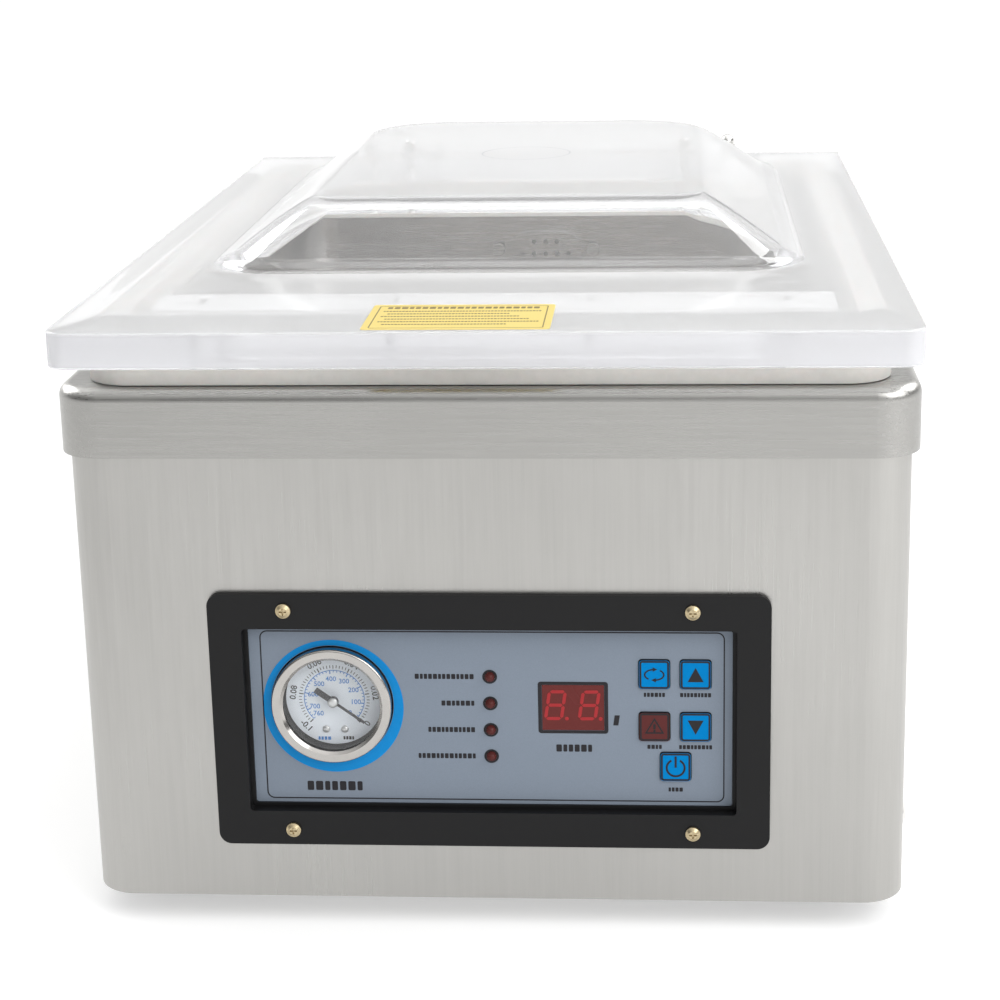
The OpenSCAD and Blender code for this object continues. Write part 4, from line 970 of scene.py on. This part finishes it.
def build_dial():
    """The dial's two scales with their numbers, and its two screws."""
    centre = middle("gauge_dial")
    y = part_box("gauge_dial")[0].y
    build_scales(centre, y)
    face = y - 0.016 * MM
    outer_r, inner_r, last_r = 16.3 * MM, 8.6 * MM, 9.2 * MM
    outer_size, inner_size = 3.5 * MM, 2.8 * MM
    upright_to = 200  # degrees; past this the numbers would stand on their heads
    for i, text in enumerate(("0", "0.02", "0.04", "0.06", "0.08", "-0.1")):
        degrees = DIAL_START + DIAL_SPAN * i / 5 + (6 if i == 0 else 0)
        a = math.radians(degrees)
        turn = a - math.pi / 2 if degrees < upright_to else a - 3 * math.pi / 2
        place = on_dial(centre, outer_r, a, face)
        add_number(text, outer_size, place, turn, "print_black", "dial_number_%d" % i)
    squash = 0.97
    for value in (0, 100, 200, 300, 400, 500, 600, 700, 760):
        a = math.radians(DIAL_START + INNER_PER_UNIT * value)
        place = on_dial(centre, inner_r if value != 760 else last_r, a, face)
        place.z = centre.z + (place.z - centre.z) * squash
        add_number(str(value), inner_size, place, 0.0, "dial_blue", "dial_inner_%d" % value)
    for number, side in enumerate((-1, 1)):
        turn_piece(
            "dial_screw_%d" % (number + 1),
            (centre.x + side * 3.7 * MM, y, centre.z - 12.9 * MM),
            ((0, 0.75), (0.9, 0.7), (1.4, 0.35), (1.55, 0.0)),
            "zinc_steel", "chassis",
        )


def build_scales(centre, y):
    """The black outer scale and the blue inner scale, with blocks for the names of their units."""
    bold, thin = 0.42 * MM, 0.28 * MM
    names_h = 1.4 * MM
    black = Print(facing_front(y), DIAL_INK)
    outer_rim = 14.1 * MM
    for i in range(OUTER_TICKS + 1):
        major, half = i % 10 == 0, i % 5 == 0
        inner = (12.3 if major else 12.6 if half else 12.9) * MM
        angle = DIAL_START + DIAL_SPAN * i / OUTER_TICKS
        tick(black, centre, angle, inner, outer_rim, bold if major else thin)
    black.words(centre.x + 3.0 * MM, centre.x + 7.2 * MM, centre.z - 16.6 * MM, names_h, seed=3)
    black.piece("dial_scale_outer", "print_black", "chassis")
    blue = Print(facing_front(y), DIAL_INK)
    inner_rim = 11.9 * MM
    for i in range(INNER_TICKS + 1):
        major = i % 5 == 0
        inner = (10.5 if major else 11.1) * MM
        tick(blue, centre, DIAL_START + INNER_STEP * i, inner, inner_rim, bold if major else thin)
    sweep = (DIAL_START, DIAL_START + DIAL_SPAN, 90)
    blue.ring(
        arc(centre.x, centre.z, 12.1 * MM, 12.1 * MM, *sweep),
        arc(centre.x, centre.z, 11.8 * MM, 11.8 * MM, *sweep),
        closed=False,
    )
    blue.words(centre.x - 7.0 * MM, centre.x - 2.0 * MM, centre.z - 16.8 * MM, names_h, seed=4)
    blue.piece("dial_scale_inner", "dial_blue", "chassis")


def turn_piece(name, place, profile, material, body):
    """A turned piece that faces the front. profile is (radius, height) in mm, from the middle out."""
    steps = 32
    cx, y, cz = place
    verts, faces = [], []
    for r, h in profile[1:]:
        for k in range(steps):
            a = 2 * math.pi * k / steps
            verts.append((cx + r * MM * math.cos(a), y - h * MM, cz + r * MM * math.sin(a)))
    rows = len(profile) - 1
    for i in range(rows - 1):
        for k in range(steps):
            m = (k + 1) % steps
            faces.append((i * steps + k, i * steps + m, (i + 1) * steps + m, (i + 1) * steps + k))
    verts.append((cx, y - profile[0][1] * MM, cz))
    for k in range(steps):
        faces.append((len(verts) - 1, (k + 1) % steps, k))
    faces.append(tuple((rows - 1) * steps + k for k in range(steps)))
    add_mesh(name, verts, faces, material, body, smooth=True)


def build_pointer_cap():
    """The small domed cap on the pointer's hub."""
    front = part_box("gauge_pointer")[0].y
    axis = joint_place("pointer_turn")
    turn_piece(
        "pointer_hub_cap",
        (axis.x, front, axis.z),
        ((0, 0.9), (0.9, 0.85), (1.7, 0.6), (2.0, 0.2), (2.0, -0.1)),
        "zinc_steel", "pointer",
    )


def joint_place(name):
    """Where a joint's axis is."""
    return next(Vector(j["pos_m"]) for j in frame["joints"] if j["name"] == name)


# ------------------------------------------------------------------ hinge springs


def build_springs():
    """Two wound torsion springs at the hinge, between the body and the lid."""
    hinge = joint_place("lid_hinge")
    right_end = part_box("torsion_springs")[1].x - 7.6 * MM
    turns, start_turn, steps = 8.75, 0.25, 160
    radius, wire, half = 3.85 * MM, 0.72 * MM, 6.6 * MM
    wire_sides = 10
    for side, name in ((-1, "torsion_spring_left"), (1, "torsion_spring_right")):
        cx = side * right_end
        coil = []
        for i in range(steps + 1):
            share = i / steps
            a = 2 * math.pi * (start_turn + turns * share)
            x = cx - half + 2 * half * share
            coil.append(Vector((x, hinge.y - radius * math.cos(a), hinge.z + radius * math.sin(a))))
        first, last = coil[0], coil[-1]
        lid_leg = [Vector((first.x, hinge.y - d * MM, first.z)) for d in (9.0, 6.0, 3.0)]
        body_leg = [Vector((last.x, last.y, last.z - d * MM)) for d in (4.0, 10.0, 18.0)]
        path = lid_leg + coil + body_leg
        spring = tube(name, path, wire, wire_sides, "spring_steel", "chassis")
        spring.parent = None  # taken off the chassis, the spring rides on neither body
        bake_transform(spring)
        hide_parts("torsion_springs")


# ------------------------------------------------------------------ surroundings


def build_stage():
    """A plain pale floor that glows a little, as a lit table does."""
    size = 12.0
    corners = [(-size, -size, 0), (size, -size, 0), (size, size, 0), (-size, size, 0)]
    mesh = bpy.data.meshes.new("floor")
    mesh.from_pydata(corners, [], [(0, 1, 2, 3)])
    floor = bpy.data.objects.new("floor", mesh)
    bpy.context.scene.collection.objects.link(floor)
    glow = {"Emission_Color": (1, 1, 1, 1), "Emission_Strength": 0.36}
    s = Shade("floor_paper", (0.72, 0.72, 0.72), 0.9, **glow)
    s.shade_colour(s.spread(s.noise(3, detail=2.0, roughness=0.5), 0.995, 1.0))
    mesh.materials.append(s.mat)


def add_light(name, place, aim, size, power, shine_only=False):
    """An area light. One for shine only shows in reflections and adds no other light."""
    data = bpy.data.lights.new(name, "AREA")
    data.shape = "RECTANGLE"
    data.size, data.size_y = size
    data.energy = power
    light = bpy.data.objects.new(name, data)
    bpy.context.scene.collection.objects.link(light)
    light.location = place
    light.rotation_mode = "QUATERNION"
    light.rotation_quaternion = (Vector(aim) - Vector(place)).to_track_quat("-Z", "Y")
    light.visible_diffuse = not shine_only
    light.visible_transmission = not shine_only


def world_ramp(world, source, axis, span, levels):
    """How much light comes from a direction, by one of its components. A level may be another ramp."""
    nodes, links = world.node_tree.nodes, world.node_tree.links
    ramp = nodes.new("ShaderNodeMapRange")
    ramp.interpolation_type = "SMOOTHSTEP"
    ramp.inputs["From Min"].default_value, ramp.inputs["From Max"].default_value = span
    for key, level in zip(("To Min", "To Max"), levels):
        if isinstance(level, float):
            ramp.inputs[key].default_value = level
        else:
            links.new(level.outputs[0], ramp.inputs[key])
    links.new(source.outputs[axis], ramp.inputs["Value"])
    return ramp


def world_sum(world, a, b):
    """Two amounts of light added together."""
    add = world.node_tree.nodes.new("ShaderNodeMath")
    world.node_tree.links.new(a.outputs[0], add.inputs[0])
    world.node_tree.links.new(b.outputs[0], add.inputs[1])
    return add


def build_world():
    """A white studio: bright at the back and above, darker at the camera's side and at the right."""
    world = bpy.data.worlds.new("studio")
    world.use_nodes = True
    bpy.context.scene.world = world
    nodes, links = world.node_tree.nodes, world.node_tree.links
    way = nodes.new("ShaderNodeSeparateXYZ")
    links.new(nodes.new("ShaderNodeTexCoord").outputs["Generated"], way.inputs[0])
    front = world_ramp(world, way, "X", (-0.45, 0.15), (0.20, 0.70))
    back = world_ramp(world, way, "Z", (0.02, 0.25), (1.02, 0.67))
    total = world_ramp(world, way, "Y", (-0.25, 0.45), (front, back))
    total = world_sum(world, total, world_ramp(world, way, "X", (0.35, 0.9), (0.0, -0.5)))
    total = world_sum(world, total, world_ramp(world, way, "Z", (0.25, 0.95), (0.0, 0.80)))
    plain = 1.0  # what shows behind the object is plain white, whatever lights it
    seen = nodes.new("ShaderNodeMix")
    seen.inputs["B"].default_value = plain
    links.new(nodes.new("ShaderNodeLightPath").outputs["Is Camera Ray"], seen.inputs["Factor"])
    links.new(total.outputs[0], seen.inputs["A"])
    links.new(seen.outputs["Result"], nodes["Background"].inputs["Strength"])
    nodes["Background"].inputs["Color"].default_value = (1, 1, 1, 1)


def build_lights():
    """A softbox at the front right, and two strips that whiten the slopes of the clear dome."""
    add_light(
        "right_softbox", place=(1.1, -0.9, 0.9), aim=(0.15, -0.45, 0.0), size=(1.2, 1.0), power=14
    )
    strip = {"size": (0.9, 0.9), "power": 20, "shine_only": True}
    add_light("left_strip", place=(-1.25, 0.55, 1.05), aim=(-0.1, -0.1, 0.25), **strip)
    add_light("right_strip", place=(1.15, 0.45, 1.15), aim=(0.1, -0.1, 0.25), **strip)


# ------------------------------------------------------------------ build

dress_cad_nodes()
polish_chamber()
blacken_key_sides()
NODES["gauge_glass"].visible_shadow = False
soften("panel_bezel", 0.5 * MM, segments=3)
for key in KEYS:
    soften("key_" + key, 0.25 * MM, finish=1)
build_lid()
build_dome_mark()
build_label()
build_panel_print()
build_digits()
build_key_prints()
build_dial()
build_pointer_cap()
build_springs()
build_stage()
build_world()
build_lights()
make_camera()
bpy.context.scene.view_settings.view_transform = "Standard"
